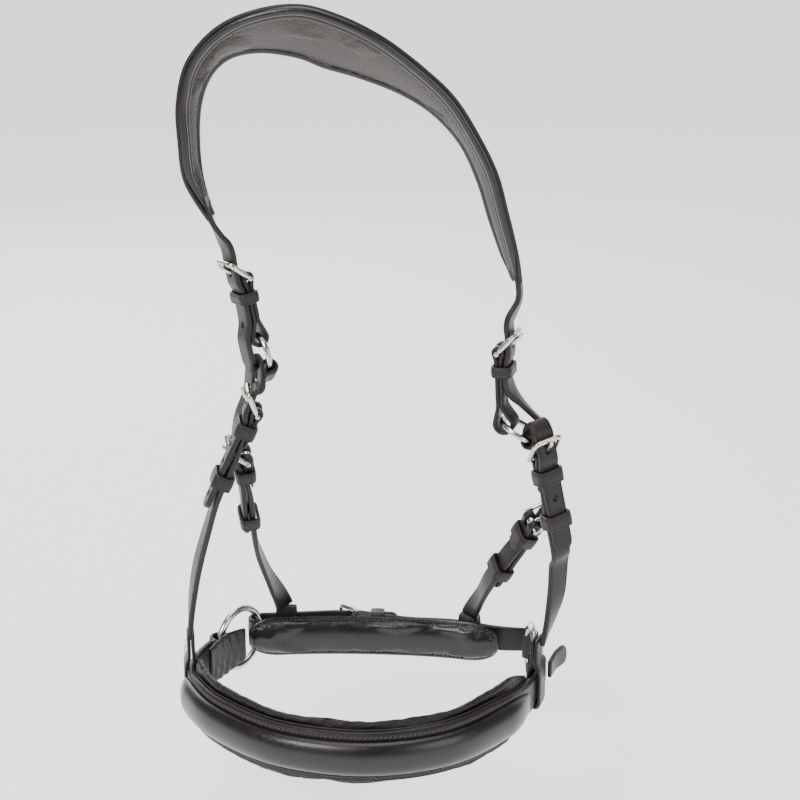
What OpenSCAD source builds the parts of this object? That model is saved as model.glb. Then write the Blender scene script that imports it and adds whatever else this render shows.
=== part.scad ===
// Leather headcollar with a padded anatomical crown, padded noseband and chin pad.
// Frame: millimetres, +Z up, the noseband's front faces -Y, the left cheek is at -X.
// Origin: the middle of the crown's underside, where it rests on the poll.

/* [Straps] */
// Width of the cheek billets and tabs
cheek_w = 12; // [11:0.5:12.5]
// Width of the hanger straps between the cheek rings and the noseband
hanger_w = 11.5; // [11:0.5:12]
// Thickness of one layer of billet leather
billet_t = 2.8; // [2.4:0.1:3]
// Thickness of one layer of tab leather
tab_t = 2.1; // [1.9:0.1:2.2]

/* [Metal] */
// Centreline radius of the cheek rings
cheek_ring_r = 10.5; // [10.3:0.1:11]
// Wire radius of the cheek rings
cheek_wire_r = 1.5; // [1.3:0.1:1.6]
// Centreline radius of the two big side rings
side_ring_r = 17.5; // [17:0.1:18]
// Wire radius of the side rings
side_wire_r = 2; // [1.8:0.1:2.1]
// Distance between a buckle's heel bar and its front bar
buckle_l = 13; // [12.5:0.1:13.5]
// Lean of a buckle frame away from its strap, in degrees
buckle_lean = 42; // [40:1:44]

/* [Noseband] */
// Height of the noseband's outer strap
nose_h = 28; // [26:1:30]
// Height of the soft lining behind it
lining_h = 37; // [34:1:38]
// Height of the raised centre pad
pad_h = 19; // [17:1:20]
// How far the raised pad stands out
pad_out = 6; // [4:0.5:7]
// Height of the chin pad
chin_h = 24; // [22:1:26]
// Thickness of the chin pad
chin_t = 11; // [9:0.5:12]

/* [Crown] */
// Thickness of the crown's outer leather
crown_t = 2.4; // [2:0.1:3]
// Thickness of the crown's padded underside
crown_pad_t = 4.5; // [3.5:0.5:6]

/* [Hidden] */
$fn = 48;

leather = [0.09, 0.08, 0.08];
soft_leather = [0.14, 0.13, 0.125];
lining_leather = [0.3, 0.27, 0.25];
nickel = [0.75, 0.72, 0.69];

bar_r = 1.2;                       // heel bar of a buckle
rod_r = 1.3;                       // sides and front bar of a buckle
tongue_r = 1.1;
tongue_hub_r = 2.3;
bar_fit = 0.05;                    // running clearance of a tongue on its bar
fold_r = bar_r + 0.15;             // inside radius of the leather fold round a heel bar
billet_n = fold_r + tab_t + 0.4 + billet_t/2;   // billet mid-plane, out from the heel bar
lay_n = tab_t + 0.3 + billet_t/2;  // the same where the billet lies flat on the strap below it
near_set = 1.8;                    // how far the crown's near rim is rolled under
far_set = 1;                       // and its far rim
corner_r = 2.5;
tongue_angle = buckle_lean + asin((rod_r + tongue_r + 0.12)/buckle_l);
nose_z = -349.5;                   // mid height of the noseband and chin pieces
ring_eye_r = 2.8;                  // hanger loop round a cheek ring
tab_eye_r = 3.85;                  // cheek tab loop round a cheek ring
side_eye_r = 4;                    // noseband and jaw loops round a side ring

// ---- vectors, frames and splines ----
function unit(v) = v / norm(v);
// Frame from the way up the strap and the rough outward direction: [across, up, outward].
function frame(up, out) = let (l = unit(up), w = unit(cross(l, out))) [w, l, cross(w, l)];
function at(p, b, w, l, n) = p + w*b[0] + l*b[1] + n*b[2];
function catmull(a, b, c, d, t) =
  0.5*((2*b) + (c - a)*t + (2*a - 5*b + 4*c - d)*t*t + (3*b - a - 3*c + d)*t*t*t);
// Smooth list through the given rows, with k steps between neighbours.
function spline(p, k) = let (m = len(p) - 1) [
  for (i = [0:m - 1], j = [0:k - 1])
    catmull(p[max(i - 1, 0)], p[i], p[i + 1], p[min(i + 2, m)], j/k), p[m]];
function head(v) = [v[0], v[1], v[2]];
function tail3(v) = [v[3], v[4], v[5]];
function row(p, n, hw, t) = [p[0], p[1], p[2], n[0], n[1], n[2], hw, t];

module place(p, b)
  multmatrix([[b[0][0], b[1][0], b[2][0], p[0]], [b[0][1], b[1][1], b[2][1], p[1]],
              [b[0][2], b[1][2], b[2][2], p[2]], [0, 0, 0, 1]]) children();

// Closed skin over rings of points, each ring the same count, first ring to last.
module skin(rings) {
  n = len(rings[0]);
  m = len(rings);
  polyhedron(
    points = [for (r = rings) each r],
    faces = [
      [for (i = [0:n - 1]) i],
      [for (i = [0:n - 1]) m*n - 1 - i],
      for (j = [0:m - 2], i = [0:n - 1])
        each [[j*n + i, (j + 1)*n + i, j*n + (i + 1)%n],
              [j*n + (i + 1)%n, (j + 1)*n + i, (j + 1)*n + (i + 1)%n]]],
    convexity = 10);
}

// A flat strap along rows of [centre, outward, half width, thickness].
module ribbon(rows, k = 5) {
  s = spline(rows, k);
  m = len(s) - 1;
  skin([for (i = [0:m])
    let (c = head(s[i]), t = unit(head(s[min(i + 1, m)]) - head(s[max(i - 1, 0)])),
         o = tail3(s[i]), n = unit(o - (o*t)*t), w = cross(t, n), a = s[i][6], h = s[i][7]/2)
      [c - a*w - h*n, c - a*w + h*n, c + a*w + h*n, c + a*w - h*n]]);
}

// Extrude a flat shape, drawn in (up, outward), across the strap.
module across(wide) rotate([90, 0, 90]) linear_extrude(wide, center = true) children();

// ---- the metal parts of a buckle, in a strap frame ----
module bar(x0, x1, r) translate([x0, 0, 0]) rotate([0, 90, 0]) cylinder(h = x1 - x0, r = r);

module buckle(strap_w) {
  half = strap_w/2 + 0.8 + rod_r;
  color(nickel) rotate([buckle_lean, 0, 0]) {
    bar(-half, half, bar_r);
    for (s = [-1, 1]) {
      translate([s*half, 0, 0]) sphere(r = rod_r);
      translate([s*half, 0, 0]) rotate([-90, 0, 0]) cylinder(h = buckle_l - corner_r, r = rod_r);
      translate([s*(half - corner_r), buckle_l - corner_r, 0]) rotate([0, 0, s > 0 ? 0 : 90])
        rotate_extrude(angle = 90) translate([corner_r, 0]) circle(r = rod_r);
    }
    translate([0, buckle_l, 0]) bar(-half + corner_r, half - corner_r, rod_r);
  }
}

module tongue() {
  color(nickel) rotate([tongue_angle, 0, 0]) difference() {
    union() {
      bar(-1.5, 1.5, tongue_hub_r);
      rotate([-90, 0, 0]) cylinder(h = buckle_l + 2, r = tongue_r);
      translate([0, buckle_l + 2, 0]) sphere(r = tongue_r);
    }
    bar(-4, 4, bar_r + bar_fit);
  }
}

// Room for the tongue's hub and its travel in a heel fold.
module tongue_slit() {
  bar(-1.9, 1.9, tongue_hub_r + 0.4);
  translate([-1.9, -3.5, -0.5]) cube([3.8, 10, 8]);
}

// Punched slot that the tongue passes through, and round holes at other distances.
module punched(holes) {
  for (l = [0.6, 6.2]) translate([0, l, billet_n]) cylinder(h = 8, r = 1.7, center = true);
  translate([-1.7, 0.6, billet_n - 4]) cube([3.4, 5.6, 8]);
  for (l = holes) translate([0, l, billet_n]) cylinder(h = 8, r = 1.7, center = true);
}

// Keeper loop round both layers, its middle at distance l along the strap.
module keeper(strap_w, l, long = 8) {
  wall = 1.6;
  low = -tab_t - 0.35;
  high = lay_n + billet_t/2 + 0.35;
  color(leather) translate([0, l, 0]) rotate([90, 0, 0]) linear_extrude(long, center = true)
    difference() {
      translate([-strap_w/2 - 0.35 - wall, low - wall])
        square([strap_w + 0.7 + 2*wall, high - low + 2*wall]);
      translate([-strap_w/2 - 0.35, low]) square([strap_w + 0.7, high - low]);
    }
}

// ---- headpiece ----
// Crown outlines: near edge and far edge at the same stations, left end to right end.
crown_near = [[-47, -6, -87], [-57, -11, -66], [-59, -13, -45], [-59, -13, -26], [-53, -14, -6],
  [-38, -17, 10], [-19, -21, 19], [3, -23, 22], [24, -23, 16], [43, -22, 6], [62, -18, -9],
  [77, -15, -24], [89, -13, -43], [98, -13, -61], [104, -12, -82], [109, -10, -102], [112, -7, -119]];
crown_far = [[-41.5, 6, -88.5], [-50, 11, -70], [-52, 13, -50], [-50, 13, -31], [-44, 14, -17],
  [-34, 17, -9], [-19, 21, -7], [-1, 23, -10], [12, 23, -15], [30, 22, -20], [50, 18, -27],
  [67, 15, -37], [81, 13, -52], [90, 13, -71], [96, 12, -90], [102, 10, -108], [107, 7, -123]];

// Cross-sections between two outlines, from depth a to depth b along the outward normal.
module crown_layer(first, last, inset, a, b, k = 3) {
  near = spline(crown_near, k);
  far = spline(crown_far, k);
  skin([for (i = [first*k:last*k])
    let (w = unit(far[i] - near[i]), m = len(near) - 1,
         mid = [for (j = [max(i - 1, 0), min(i + 1, m)]) (near[j] + far[j])/2],
         t = unit(mid[1] - mid[0]), n = unit(cross(t, w)),
         p = near[i] + inset*w - near_set*n, q = far[i] - inset*w + far_set*n)
      [p + a*n, q + a*n, q + b*n, p + b*n]]);
}

module crown_strap() color(leather) crown_layer(0, 16, 0, 0, crown_t);
module crown_padding() color(lining_leather) crown_layer(0, 16, 1, -crown_pad_t, -0.1);

// Cheek buckles: heel bar centre and strap frame on each side.
left_heel = [-29.5, 0, -118];
left_b = frame([-0.18, 0, 1], [-0.85, -0.5, 0]);
left_tab_l = 31;
right_heel = [101.5, 0, -157];
right_b = frame([-0.05, 0, 1], [0.95, -0.3, 0]);
right_tab_l = 38;

// Cheek rings: centre and plane frame [tangent at the tab, direction to the tab, normal].
left_ring_b = left_b;
left_ring_c = at(left_heel, left_b, 0, -left_tab_l - cheek_ring_r, 0);
right_ring_b = frame([-0.87, 0.13, 0.47], [-0.465, 0.07, -0.88]);
right_ring_c = at(right_heel, right_b, 0, -right_tab_l, 0) - cheek_ring_r*right_ring_b[1];

// Height of a billet over its heel bar at distance l: over the fold, then flat on the strap.
function lie(l) = l > -2.5 ? billet_n : l > -7 ? lay_n + 0.1 : lay_n;

module cheek_billet(p, b, rows, side, holes) {
  color(leather) difference() {
    ribbon(concat(rows, [for (l = [16, 8, -1.5, -6.5, -18]) row(at(p, b, 0, l, lie(l)), b[2],
      cheek_w/2, billet_t)], side));
    place(p, b) punched(holes);
  }
}

left_crown_out = [-0.9, 0.1, -0.4];
right_crown_out = [0.9, 0.3, 0.3];

module left_cheek_billet()
  cheek_billet(left_heel, left_b,
    [row([-48.5, 0, -76], [-0.95, 0.1, -0.3], cheek_w/2 - 0.5, billet_t),
     row([-45, 0, -88], [-0.9, 0, -0.3], cheek_w/2, billet_t),
     row([-40.5, 0, -98], [-0.85, -0.3, -0.4], cheek_w/2, billet_t)],
    [for (q = [[-24, 4.3], [-28, 6.4], [-32, 7.8], [-38, 7.6]])
       row(at(left_heel, left_b, 0, q[0], q[1]), left_b[2], cheek_w/2, billet_t),
     row(at(left_heel, left_b, 0, -47, 7.2), left_b[2], cheek_w/2 - 3, billet_t)],
    [-12, -24, -36]);

module right_cheek_billet()
  cheek_billet(right_heel, right_b,
    [row([106.5, 0, -108], [0.95, 0, 0.2], cheek_w/2 - 0.5, billet_t),
     row([110, 0, -120], [0.97, -0.1, 0.1], cheek_w/2, billet_t),
     row([110.5, 0, -130], [0.97, -0.2, -0.05], cheek_w/2, billet_t)],
    [row([111.5, 2.5, -184], [0.9, 0, 0.35], cheek_w/2, billet_t),
     row([119, 5, -193], [0.75, 0.1, 0.6], cheek_w/2, billet_t),
     row([124.5, 7, -198.5], [0.7, 0.1, 0.7], cheek_w/2 - 3, billet_t)],
    [-11]);

// Doubled tab: fold round the heel bar at the top, loop round the cheek ring at the bottom.
module cheek_tab(p, b, long, eye) {
  color(leather) place(p, b) difference() {
    across(cheek_w) difference() {
      union() {
        circle(r = fold_r + tab_t);
        translate([-long, -tab_t]) square([long, 2*tab_t]);
        translate(eye) circle(r = tab_eye_r + tab_t);
      }
      circle(r = fold_r);
      translate(eye) circle(r = tab_eye_r);
    }
    tongue_slit();
  }
}

// ---- hangers: heel, frame, cheek ring side, tail and lower strap of each ----
// Distance of the loose keeper and of the tail's tip below each heel bar.
lf_tail = [42, 60];
lr_tail = [46, 56];
rf_tail = [36, 53];
rr_tail = [40, 54];

lf_heel = [-24, -6, -188];
lf_b = frame([0.41, -0.03, 0.91], [-0.92, -0.15, 0.36]);
lr_heel = [-32, 18, -221];
lr_b = frame([-0.02, -0.4, 0.92], [-0.97, -0.2, -0.1]);
rf_heel = [123.5, -9, -211];
rf_b = frame([-0.2, 0.02, 0.98], [0.5, -0.86, 0.1]);
rr_heel = [121.5, 30, -264];
rr_b = frame([0.42, -0.36, 0.83], [0.85, 0.35, -0.15]);

// Direction in a ring's plane, a degrees round from straight away from the tab.
function ring_dir(b, a) = -cos(a)*b[1] + sin(a)*b[0];
function ring_tan(b, a) = cos(a)*b[0] + sin(a)*b[1];

// Billet of a hanger: loop round the cheek ring, over rows mid, down through its buckle.
module hanger_billet(p, b, c, rb, a, tail, holes, mid, top = 11, lead = 5, t0 = 2*tab_t) {
  q = c + (cheek_ring_r - 0.55)*ring_dir(rb, a);
  go = unit(head(mid[0]) - q);
  n0 = unit(cross(go, ring_tan(rb, a)));
  n1 = n0*tail3(mid[0]) < 0 ? -n0 : n0;
  color(leather) difference() {
    union() {
      ribbon(concat(
        [row(q + 2*go, n1, 4.3, t0), row(q + lead*go, n1, hanger_w/2 - 0.6, t0)], mid,
        [for (l = [top, top/2, -2, -6.5, -tail*0.3, -tail*0.6, 7 - tail, 2.5 - tail, -tail])
          row(at(p, b, 0, l, lie(l)), b[2],
            l < 1 - tail ? hanger_w/2 - 3.5 : l < 4 - tail ? hanger_w/2 - 1.2 : hanger_w/2,
            billet_t)]));
      place(q, frame(ring_dir(rb, a), rb[2])) bar(-4.8, 4.8, ring_eye_r + 1.8);
    }
    place(q, frame(ring_dir(rb, a), rb[2])) bar(-7, 7, ring_eye_r);
    place(p, b) punched(holes);
  }
}

// Closed teardrop sleeve in (outward, up) round a strap of height h and thickness t.
module sleeve_outline(h, t, peak, wall) {
  polygon([[-t/2 - wall, -h/2 - wall], [t/2 + wall, -h/2 - wall], [t/2 + wall, h/2],
           [1.6, peak], [-1.6, peak], [-t/2 - wall, h/2]]);
}
module sleeve(h, t, peak, wide = 12, wall = 2.2)
  rotate([90, 0, 90]) linear_extrude(wide, center = true) difference() {
    sleeve_outline(h, t, peak, wall);
    polygon([[-t/2, -h/2], [t/2, -h/2], [t/2, h/2 - 0.5], [0.3, peak - 6], [-0.3, peak - 6],
             [-t/2, h/2 - 0.5]]);
  }

module hanger(p, b, rows, foot, foot_out, h, t, peak) {
  color(leather) {
    difference() {
      union() {
        place(p, b) across(hanger_w) union() {
          circle(r = fold_r + tab_t);
          translate([-18, -tab_t]) square([18, 2*tab_t]);
        }
        ribbon(concat([row(at(p, b, 0, -14, 0), b[2], hanger_w/2 - 0.1, 3.4)], rows));
      }
      place(p, b) bar(-12, 12, fold_r);
      place(p, b) tongue_slit();
    }
    // Foot frame: along the strap it holds, outward, up.
    place(foot, [unit(cross(foot_out, [0, 0, 1])), unit(foot_out), [0, 0, 1]]) sleeve(h, t, peak);
  }
}

// ---- noseband ----
// Plan curve of the noseband strap's outer face, left ring to right ring.
nose_plan = [[-55.8, 47.5], [-63.5, 28], [-66, 8], [-61, -14], [-45, -40], [-12, -67], [32, -77.5],
  [74, -67], [105, -38], [120, -12], [127, 8], [128.6, 20]];
nose_k = 5;
nose_curve = spline(nose_plan, nose_k);
nose_m = len(nose_curve) - 1;
function nose_tan(i) = unit(nose_curve[min(i + 1, nose_m)] - nose_curve[max(i - 1, 0)]);
function nose_out(i) = let (t = nose_tan(i)) [t[1], -t[0]];
// Point at station i, set in by d from the outer face, at height z from the middle.
function nose_at(i, d, z) = let (c = nose_curve[i] - d*nose_out(i)) [c[0], c[1], nose_z + z];
function ramp(i, a, b) = min(max((i - a)/(b - a), 0), 1);
function ease(x) = x*x*(3 - 2*x);
function both_ends(i, a, b) = ease(ramp(i, a, b))*ease(ramp(nose_m - i, a, b));

module noseband_strap() color(leather) difference() {
  union() {
    skin([for (i = [0:nose_m])
      let (h = 9 + (nose_h/2 - 9)*both_ends(i, 10, 17))
        [nose_at(i, 0, -h), nose_at(i, 3.5, -h), nose_at(i, 3.5, h), nose_at(i, 0, h)]]);
    for (p = [left_front_eye, right_front_eye])
      translate([p[0], p[1], nose_z]) cylinder(h = 16, r = side_eye_r + tab_t, center = true);
  }
  for (p = [left_front_eye, right_front_eye])
    translate([p[0], p[1], nose_z]) cylinder(h = 60, r = side_eye_r, center = true);
}

// Half-round raised pad on the outside.
module noseband_pad() color(leather)
  skin([for (i = [11:nose_m - 11])
    let (g = ease(ramp(i, 10, 14))*ease(ramp(nose_m - i, 10, 14)), h = pad_h/2*(0.5 + 0.5*g),
         o = 0.8 + (pad_out - 0.8)*g)
      [for (a = [0:22.5:180]) nose_at(i, -0.1 - o*sin(a), h*cos(a))]]);

// Soft rolled lining on the inside.
module noseband_lining() color(soft_leather)
  skin([for (i = [9:nose_m - 9])
    let (g = ease(ramp(i, 7, 14))*ease(ramp(nose_m - i, 7, 14)), h = 9 + (lining_h/2 - 9)*g,
         d = 3 + 5*g)
      [for (a = [0:30:330]) nose_at(i, 3.7 + d/2 - d/2*cos(a), -h*sin(a))]]);

// Side rings: centre and the direction from the front loop to the rear loop.
left_side_c = [-42, 64, nose_z];
left_side_dir = [0.6, 0.8, 0];
right_side_c = [124, 40, nose_z];
right_side_dir = unit([-0.06, 1, 0]);
left_front_eye = left_side_c - (side_ring_r - 0.9)*left_side_dir;
left_rear_eye = left_side_c + (side_ring_r - 0.9)*left_side_dir;
right_front_eye = right_side_c - (side_ring_r - 0.9)*right_side_dir;
right_rear_eye = right_side_c + (side_ring_r - 0.9)*right_side_dir;

module ring(c, along, normal, r, wire) color(nickel) place(c, frame(along, normal))
  rotate_extrude($fn = 96) translate([r, 0]) circle(r = wire);

module left_ring_guard() color(soft_leather) ribbon([
  row([-55, 27, nose_z], [-0.94, -0.35, 0], 11, 3), row([-48, 43, nose_z], [-0.9, -0.45, 0], 12, 3),
  row([-38.5, 57, nose_z], [-0.8, -0.6, 0], 12, 3)]);

module right_end_flap() color(leather) ribbon([
  row([130.6, 3, nose_z], [0.97, -0.1, 0], 8, 2.4), row([133.5, 15, nose_z], [0.95, -0.3, 0], 8, 2.4),
  row([139.5, 26, nose_z + 1], [0.9, -0.45, 0.1], 7, 2.4),
  row([143, 31, nose_z + 2], [0.9, -0.45, 0.1], 3.5, 2.4)]);

// ---- chin pad and jaw strap ----
chin_plan = [[-33, 64.5], [0, 67], [35, 66.5], [70, 63], [101, 56]];
module chin_pad() color(soft_leather) {
  s = spline(chin_plan, 4);
  m = len(s) - 1;
  skin([for (i = [0:m])
    let (t = unit(s[min(i + 1, m)] - s[max(i - 1, 0)]), n = [-t[1], t[0]],
         g = sqrt(1 - pow(1 - ease(ramp(i, -1, 3))*ease(ramp(m - i, -1, 3)), 2)),
         h = chin_h/2*(0.35 + 0.65*g), d = chin_t/2*(0.4 + 0.6*g))
      [for (a = [0:30:330]) let (c = s[i] - d*sin(a)*n) [c[0], c[1], nose_z + h*cos(a)]]]);
}

jaw_heel = [25, 79.5, nose_z];
jaw_b = frame([-1, 0.02, 0], [0, 1, 0]);
jaw_w = 15;

function jaw(x, y, z, hw = 7.5) = row([x, y, nose_z + z], [0.02, 1, 0], hw, 2.8);

// Right half: loop round the right side ring, heel fold of the jaw buckle.
module jaw_strap() color(leather) difference() {
  union() {
    place(jaw_heel, jaw_b) across(jaw_w) union() {
      circle(r = fold_r + tab_t);
      translate([-18, -tab_t]) square([18, 2*tab_t]);
    }
    ribbon([row(at(jaw_heel, jaw_b, 0, -14, 0), jaw_b[2], jaw_w/2 - 0.1, 3.4),
      jaw(56, 78, -1), jaw(82, 72.5, 0), jaw(108, 63, 0),
      row(right_rear_eye - [3.5, -1.2, 0], [0.4, 0.92, 0], 7.5, 2.8)]);
    translate([right_rear_eye[0], right_rear_eye[1], nose_z])
      cylinder(h = 14, r = side_eye_r + tab_t, center = true);
  }
  translate([right_rear_eye[0], right_rear_eye[1], nose_z])
    cylinder(h = 60, r = side_eye_r, center = true);
  place(jaw_heel, jaw_b) bar(-12, 12, fold_r);
  place(jaw_heel, jaw_b) tongue_slit();
}

// Left half: loop round the left side ring, through the buckle, tail under the keeper.
module jaw_billet() color(leather) difference() {
  union() {
    ribbon([row(left_rear_eye + [3.5, 2.4, 0], [-0.3, 0.95, 0], 7.5, 2.8),
      jaw(-16, 82.5, 0), for (l = [16, 6, -2, -6.5, -14, -22, -24.5])
        row(at(jaw_heel, jaw_b, 0, l, lie(l)), jaw_b[2], l < -23 ? 4 : jaw_w/2, billet_t)]);
    translate([left_rear_eye[0], left_rear_eye[1], nose_z])
      cylinder(h = 14, r = side_eye_r + tab_t, center = true);
  }
  translate([left_rear_eye[0], left_rear_eye[1], nose_z])
    cylinder(h = 60, r = side_eye_r, center = true);
  place(jaw_heel, jaw_b) punched([-17]);
}

// ---- the assembly ----
crown_strap();
crown_padding();
left_cheek_billet();
right_cheek_billet();
cheek_tab(left_heel, left_b, left_tab_l, [-left_tab_l - 0.9, 0]);  // left_cheek_tab
cheek_tab(right_heel, right_b, right_tab_l, [-right_tab_l - 0.7, 1.6]);  // right_cheek_tab
place(left_heel, left_b) keeper(cheek_w, -10, 6);  // left_cheek_keeper
place(right_heel, right_b) keeper(cheek_w, -10, 6);  // right_cheek_keeper
place(left_heel, left_b) buckle(cheek_w);  // left_cheek_buckle
place(right_heel, right_b) buckle(cheek_w);  // right_cheek_buckle
place(left_heel, left_b) tongue();  // left_cheek_tongue
place(right_heel, right_b) tongue();  // right_cheek_tongue
ring(left_ring_c, left_ring_b[1], left_ring_b[2], cheek_ring_r, cheek_wire_r);  // left_cheek_ring
ring(right_ring_c, right_ring_b[1], right_ring_b[2], cheek_ring_r, cheek_wire_r);  // right_cheek_ring

hanger_billet(lf_heel, lf_b, left_ring_c, left_ring_b, 40, lf_tail[1], [-22, -32, -52],  // left_front_billet
    [row([-21.3, -7, -173.5], [-0.9, -0.3, 0.3], hanger_w/2, 3.6)]);
hanger_billet(lr_heel, lr_b, left_ring_c, left_ring_b, -40, lr_tail[1], [-22],  // left_rear_billet
    [row([-29, 10, -184.5], [-0.9, -0.4, -0.1], hanger_w/2, 3.6),
     row([-35, 13, -199.5], [-0.95, -0.3, 0], hanger_w/2, 3)]);
hanger_billet(rf_heel, rf_b, right_ring_c, right_ring_b, 38, rf_tail[1], [-23],  // right_front_billet
    [row(at(rf_heel, rf_b, -1.4, 14.5, -2), -rf_b[2], hanger_w/2 - 0.4, 2.5),
     row(at(rf_heel, rf_b, 0, 18.5, 1.2), rf_b[1], hanger_w/2, 2.5),
     row(at(rf_heel, rf_b, 0, 14.5, 4.9), rf_b[2], hanger_w/2, 2.6)], 9, 3.6, 2.6);
hanger_billet(rr_heel, rr_b, right_ring_c, right_ring_b, -40, rr_tail[1], [-22],  // right_rear_billet
    [row([121, 11, -220], [0.95, 0.1, 0], hanger_w/2, 3.6),
     row([125.5, 19, -238], [0.9, 0.3, 0], hanger_w/2, 3)]);

hanger(lf_heel, lf_b,  // left_front_hanger
  [row(at(lf_heel, lf_b, 0, -30, 0), lf_b[2], hanger_w/2, 3),
   row(at(lf_heel, lf_b, 0, -52, 0), lf_b[2], hanger_w/2, 3),
   row([-52, -1, -256], [-0.95, -0.25, 0.2], hanger_w/2, 3),
   row([-58.5, 4, -280], [-0.95, -0.3, 0.1], hanger_w/2, 3),
   row([-62.5, 9, -303], [-0.97, -0.2, 0], hanger_w/2, 3),
   row([-64.2, 11, -322], [-1, 0, 0], hanger_w/2, 3)],
  [-64.2, 11, nose_z], [-0.99, -0.14, 0], 19, 4.2, 29);
hanger(lr_heel, lr_b,  // left_rear_hanger
  [row(at(lr_heel, lr_b, 0, -30, 0), lr_b[2], hanger_w/2, 3),
   row(at(lr_heel, lr_b, 0, -58, 0), lr_b[2], hanger_w/2, 3),
   row([-27, 52, -290], [-0.9, 0.1, -0.4], hanger_w/2, 3),
   row([-23, 66, -312], [-0.6, 0.6, -0.3], hanger_w/2, 3),
   row([-17, 79, -328], [-0.1, 0.95, 0.3], hanger_w/2, 3),
   row([-16.2, 82, -333], [0, 1, 0.1], hanger_w/2, 3)],
  [-16, 82.4, nose_z], [0.06, 1, 0], 16, 3.6, 20);
hanger(rf_heel, rf_b,  // right_front_hanger
  [row(at(rf_heel, rf_b, 0, -30, 0), rf_b[2], hanger_w/2, 3),
   row(at(rf_heel, rf_b, 0, -54, 0), rf_b[2], hanger_w/2, 3),
   row([134, -4, -274], [0.5, -0.85, 0], hanger_w/2, 3),
   row([133.5, -1, -292], [0.6, -0.8, 0], hanger_w/2, 3),
   row([131, 1, -308], [0.85, -0.5, 0], hanger_w/2, 3),
   row([127.5, 3, -322], [0.96, -0.2, 0], hanger_w/2, 3)],
  [123.9, 3, nose_z], [0.95, -0.31, 0], 19, 4.2, 29);
hanger(rr_heel, rr_b,  // right_rear_hanger
  [row(at(rr_heel, rr_b, 0, -30, 0), rr_b[2], hanger_w/2, 3),
   row(at(rr_heel, rr_b, 0, -51, 0), rr_b[2], hanger_w/2, 3),
   row([96, 57, -320], [0.7, 0.6, -0.3], hanger_w/2, 3),
   row([92, 67, -332], [0.3, 0.95, 0], hanger_w/2, 3)],
  [90, 70, nose_z], [0.33, 0.94, 0], 16, 3.6, 20);

place(lf_heel, lf_b) buckle(hanger_w);  // left_front_buckle
place(lr_heel, lr_b) buckle(hanger_w);  // left_rear_buckle
place(rf_heel, rf_b) buckle(hanger_w);  // right_front_buckle
place(rr_heel, rr_b) buckle(hanger_w);  // right_rear_buckle
place(lf_heel, lf_b) tongue();  // left_front_tongue
place(lr_heel, lr_b) tongue();  // left_rear_tongue
place(rf_heel, rf_b) tongue();  // right_front_tongue
place(rr_heel, rr_b) tongue();  // right_rear_tongue
place(lf_heel, lf_b) keeper(hanger_w, -11);  // left_front_keeper
place(lr_heel, lr_b) keeper(hanger_w, -11);  // left_rear_keeper
place(rf_heel, rf_b) keeper(hanger_w, -11);  // right_front_keeper
place(rr_heel, rr_b) keeper(hanger_w, -11);  // right_rear_keeper
place(lf_heel, lf_b) keeper(hanger_w, -lf_tail[0]);  // left_front_runner
place(lr_heel, lr_b) keeper(hanger_w, -lr_tail[0]);  // left_rear_runner
place(rf_heel, rf_b) keeper(hanger_w, -rf_tail[0]);  // right_front_runner
place(rr_heel, rr_b) keeper(hanger_w, -rr_tail[0]);  // right_rear_runner

noseband_strap();
noseband_pad();
noseband_lining();
left_ring_guard();
right_end_flap();
ring(left_side_c, left_side_dir, [-0.8, 0.6, 0], side_ring_r, side_wire_r);  // left_side_ring
ring(right_side_c, right_side_dir, [1, 0, 0], side_ring_r, side_wire_r);  // right_side_ring
chin_pad();
jaw_strap();
jaw_billet();
place(jaw_heel, jaw_b) buckle(jaw_w);  // jaw_buckle
place(jaw_heel, jaw_b) tongue();  // jaw_tongue
place(jaw_heel, jaw_b) keeper(jaw_w, -12);  // jaw_keeper
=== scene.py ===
import math

import bpy
import numpy as np
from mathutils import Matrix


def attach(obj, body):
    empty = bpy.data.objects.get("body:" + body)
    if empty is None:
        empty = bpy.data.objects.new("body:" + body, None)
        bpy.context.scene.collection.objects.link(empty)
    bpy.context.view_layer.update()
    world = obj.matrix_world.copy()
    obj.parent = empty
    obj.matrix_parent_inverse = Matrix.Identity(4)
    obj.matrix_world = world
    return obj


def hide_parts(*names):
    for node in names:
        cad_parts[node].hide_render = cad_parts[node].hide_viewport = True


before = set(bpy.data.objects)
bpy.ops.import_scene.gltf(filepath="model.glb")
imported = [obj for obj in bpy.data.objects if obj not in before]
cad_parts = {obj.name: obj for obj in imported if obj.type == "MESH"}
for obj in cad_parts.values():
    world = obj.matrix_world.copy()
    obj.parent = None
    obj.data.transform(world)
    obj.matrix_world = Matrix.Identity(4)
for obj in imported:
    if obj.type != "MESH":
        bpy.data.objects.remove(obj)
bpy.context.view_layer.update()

bl_info = {
    "name": "Leather Headcollar",
    "version": (1, 0, 0),
    "blender": (4, 5, 0),
    "location": "View3D > Sidebar > Headcollar",
    "description": "Straps, padding, buckles and rings of a leather headcollar",
    "category": "Add Mesh",
}

MM = 0.001
BILLET, TAB, FOLD, EYE = 2.8, 2.1, 1.35, 2.8
BILLET_OUT = FOLD + TAB + 0.4 + BILLET / 2
FLAT_OUT = TAB + 0.3 + BILLET / 2
NEAR_SET, FAR_SET = 1.8, 1.0
LEAN = 42.0
TONGUE_LEAN = LEAN + math.degrees(math.asin(2.52 / 13))
NOSE_Z = -349.5


# ---- vectors, frames and curves ----
def unit(v):
    """Vectors divided by their length, along the last axis."""
    v = np.asarray(v, float)
    return v / np.maximum(np.linalg.norm(v, axis=-1, keepdims=True), 1e-12)


def strap_frame(up, out):
    """Rows across, up and outward of a strap, each square to the others."""
    up = unit(up)
    across = unit(np.cross(up, out))
    return np.array([across, up, np.cross(across, up)])


def at(heel, b, w, l, n):
    """Point w across, l up and n out from a heel bar, in strap frame b."""
    return np.asarray(heel, float) + w * b[0] + l * b[1] + n * b[2]


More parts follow.
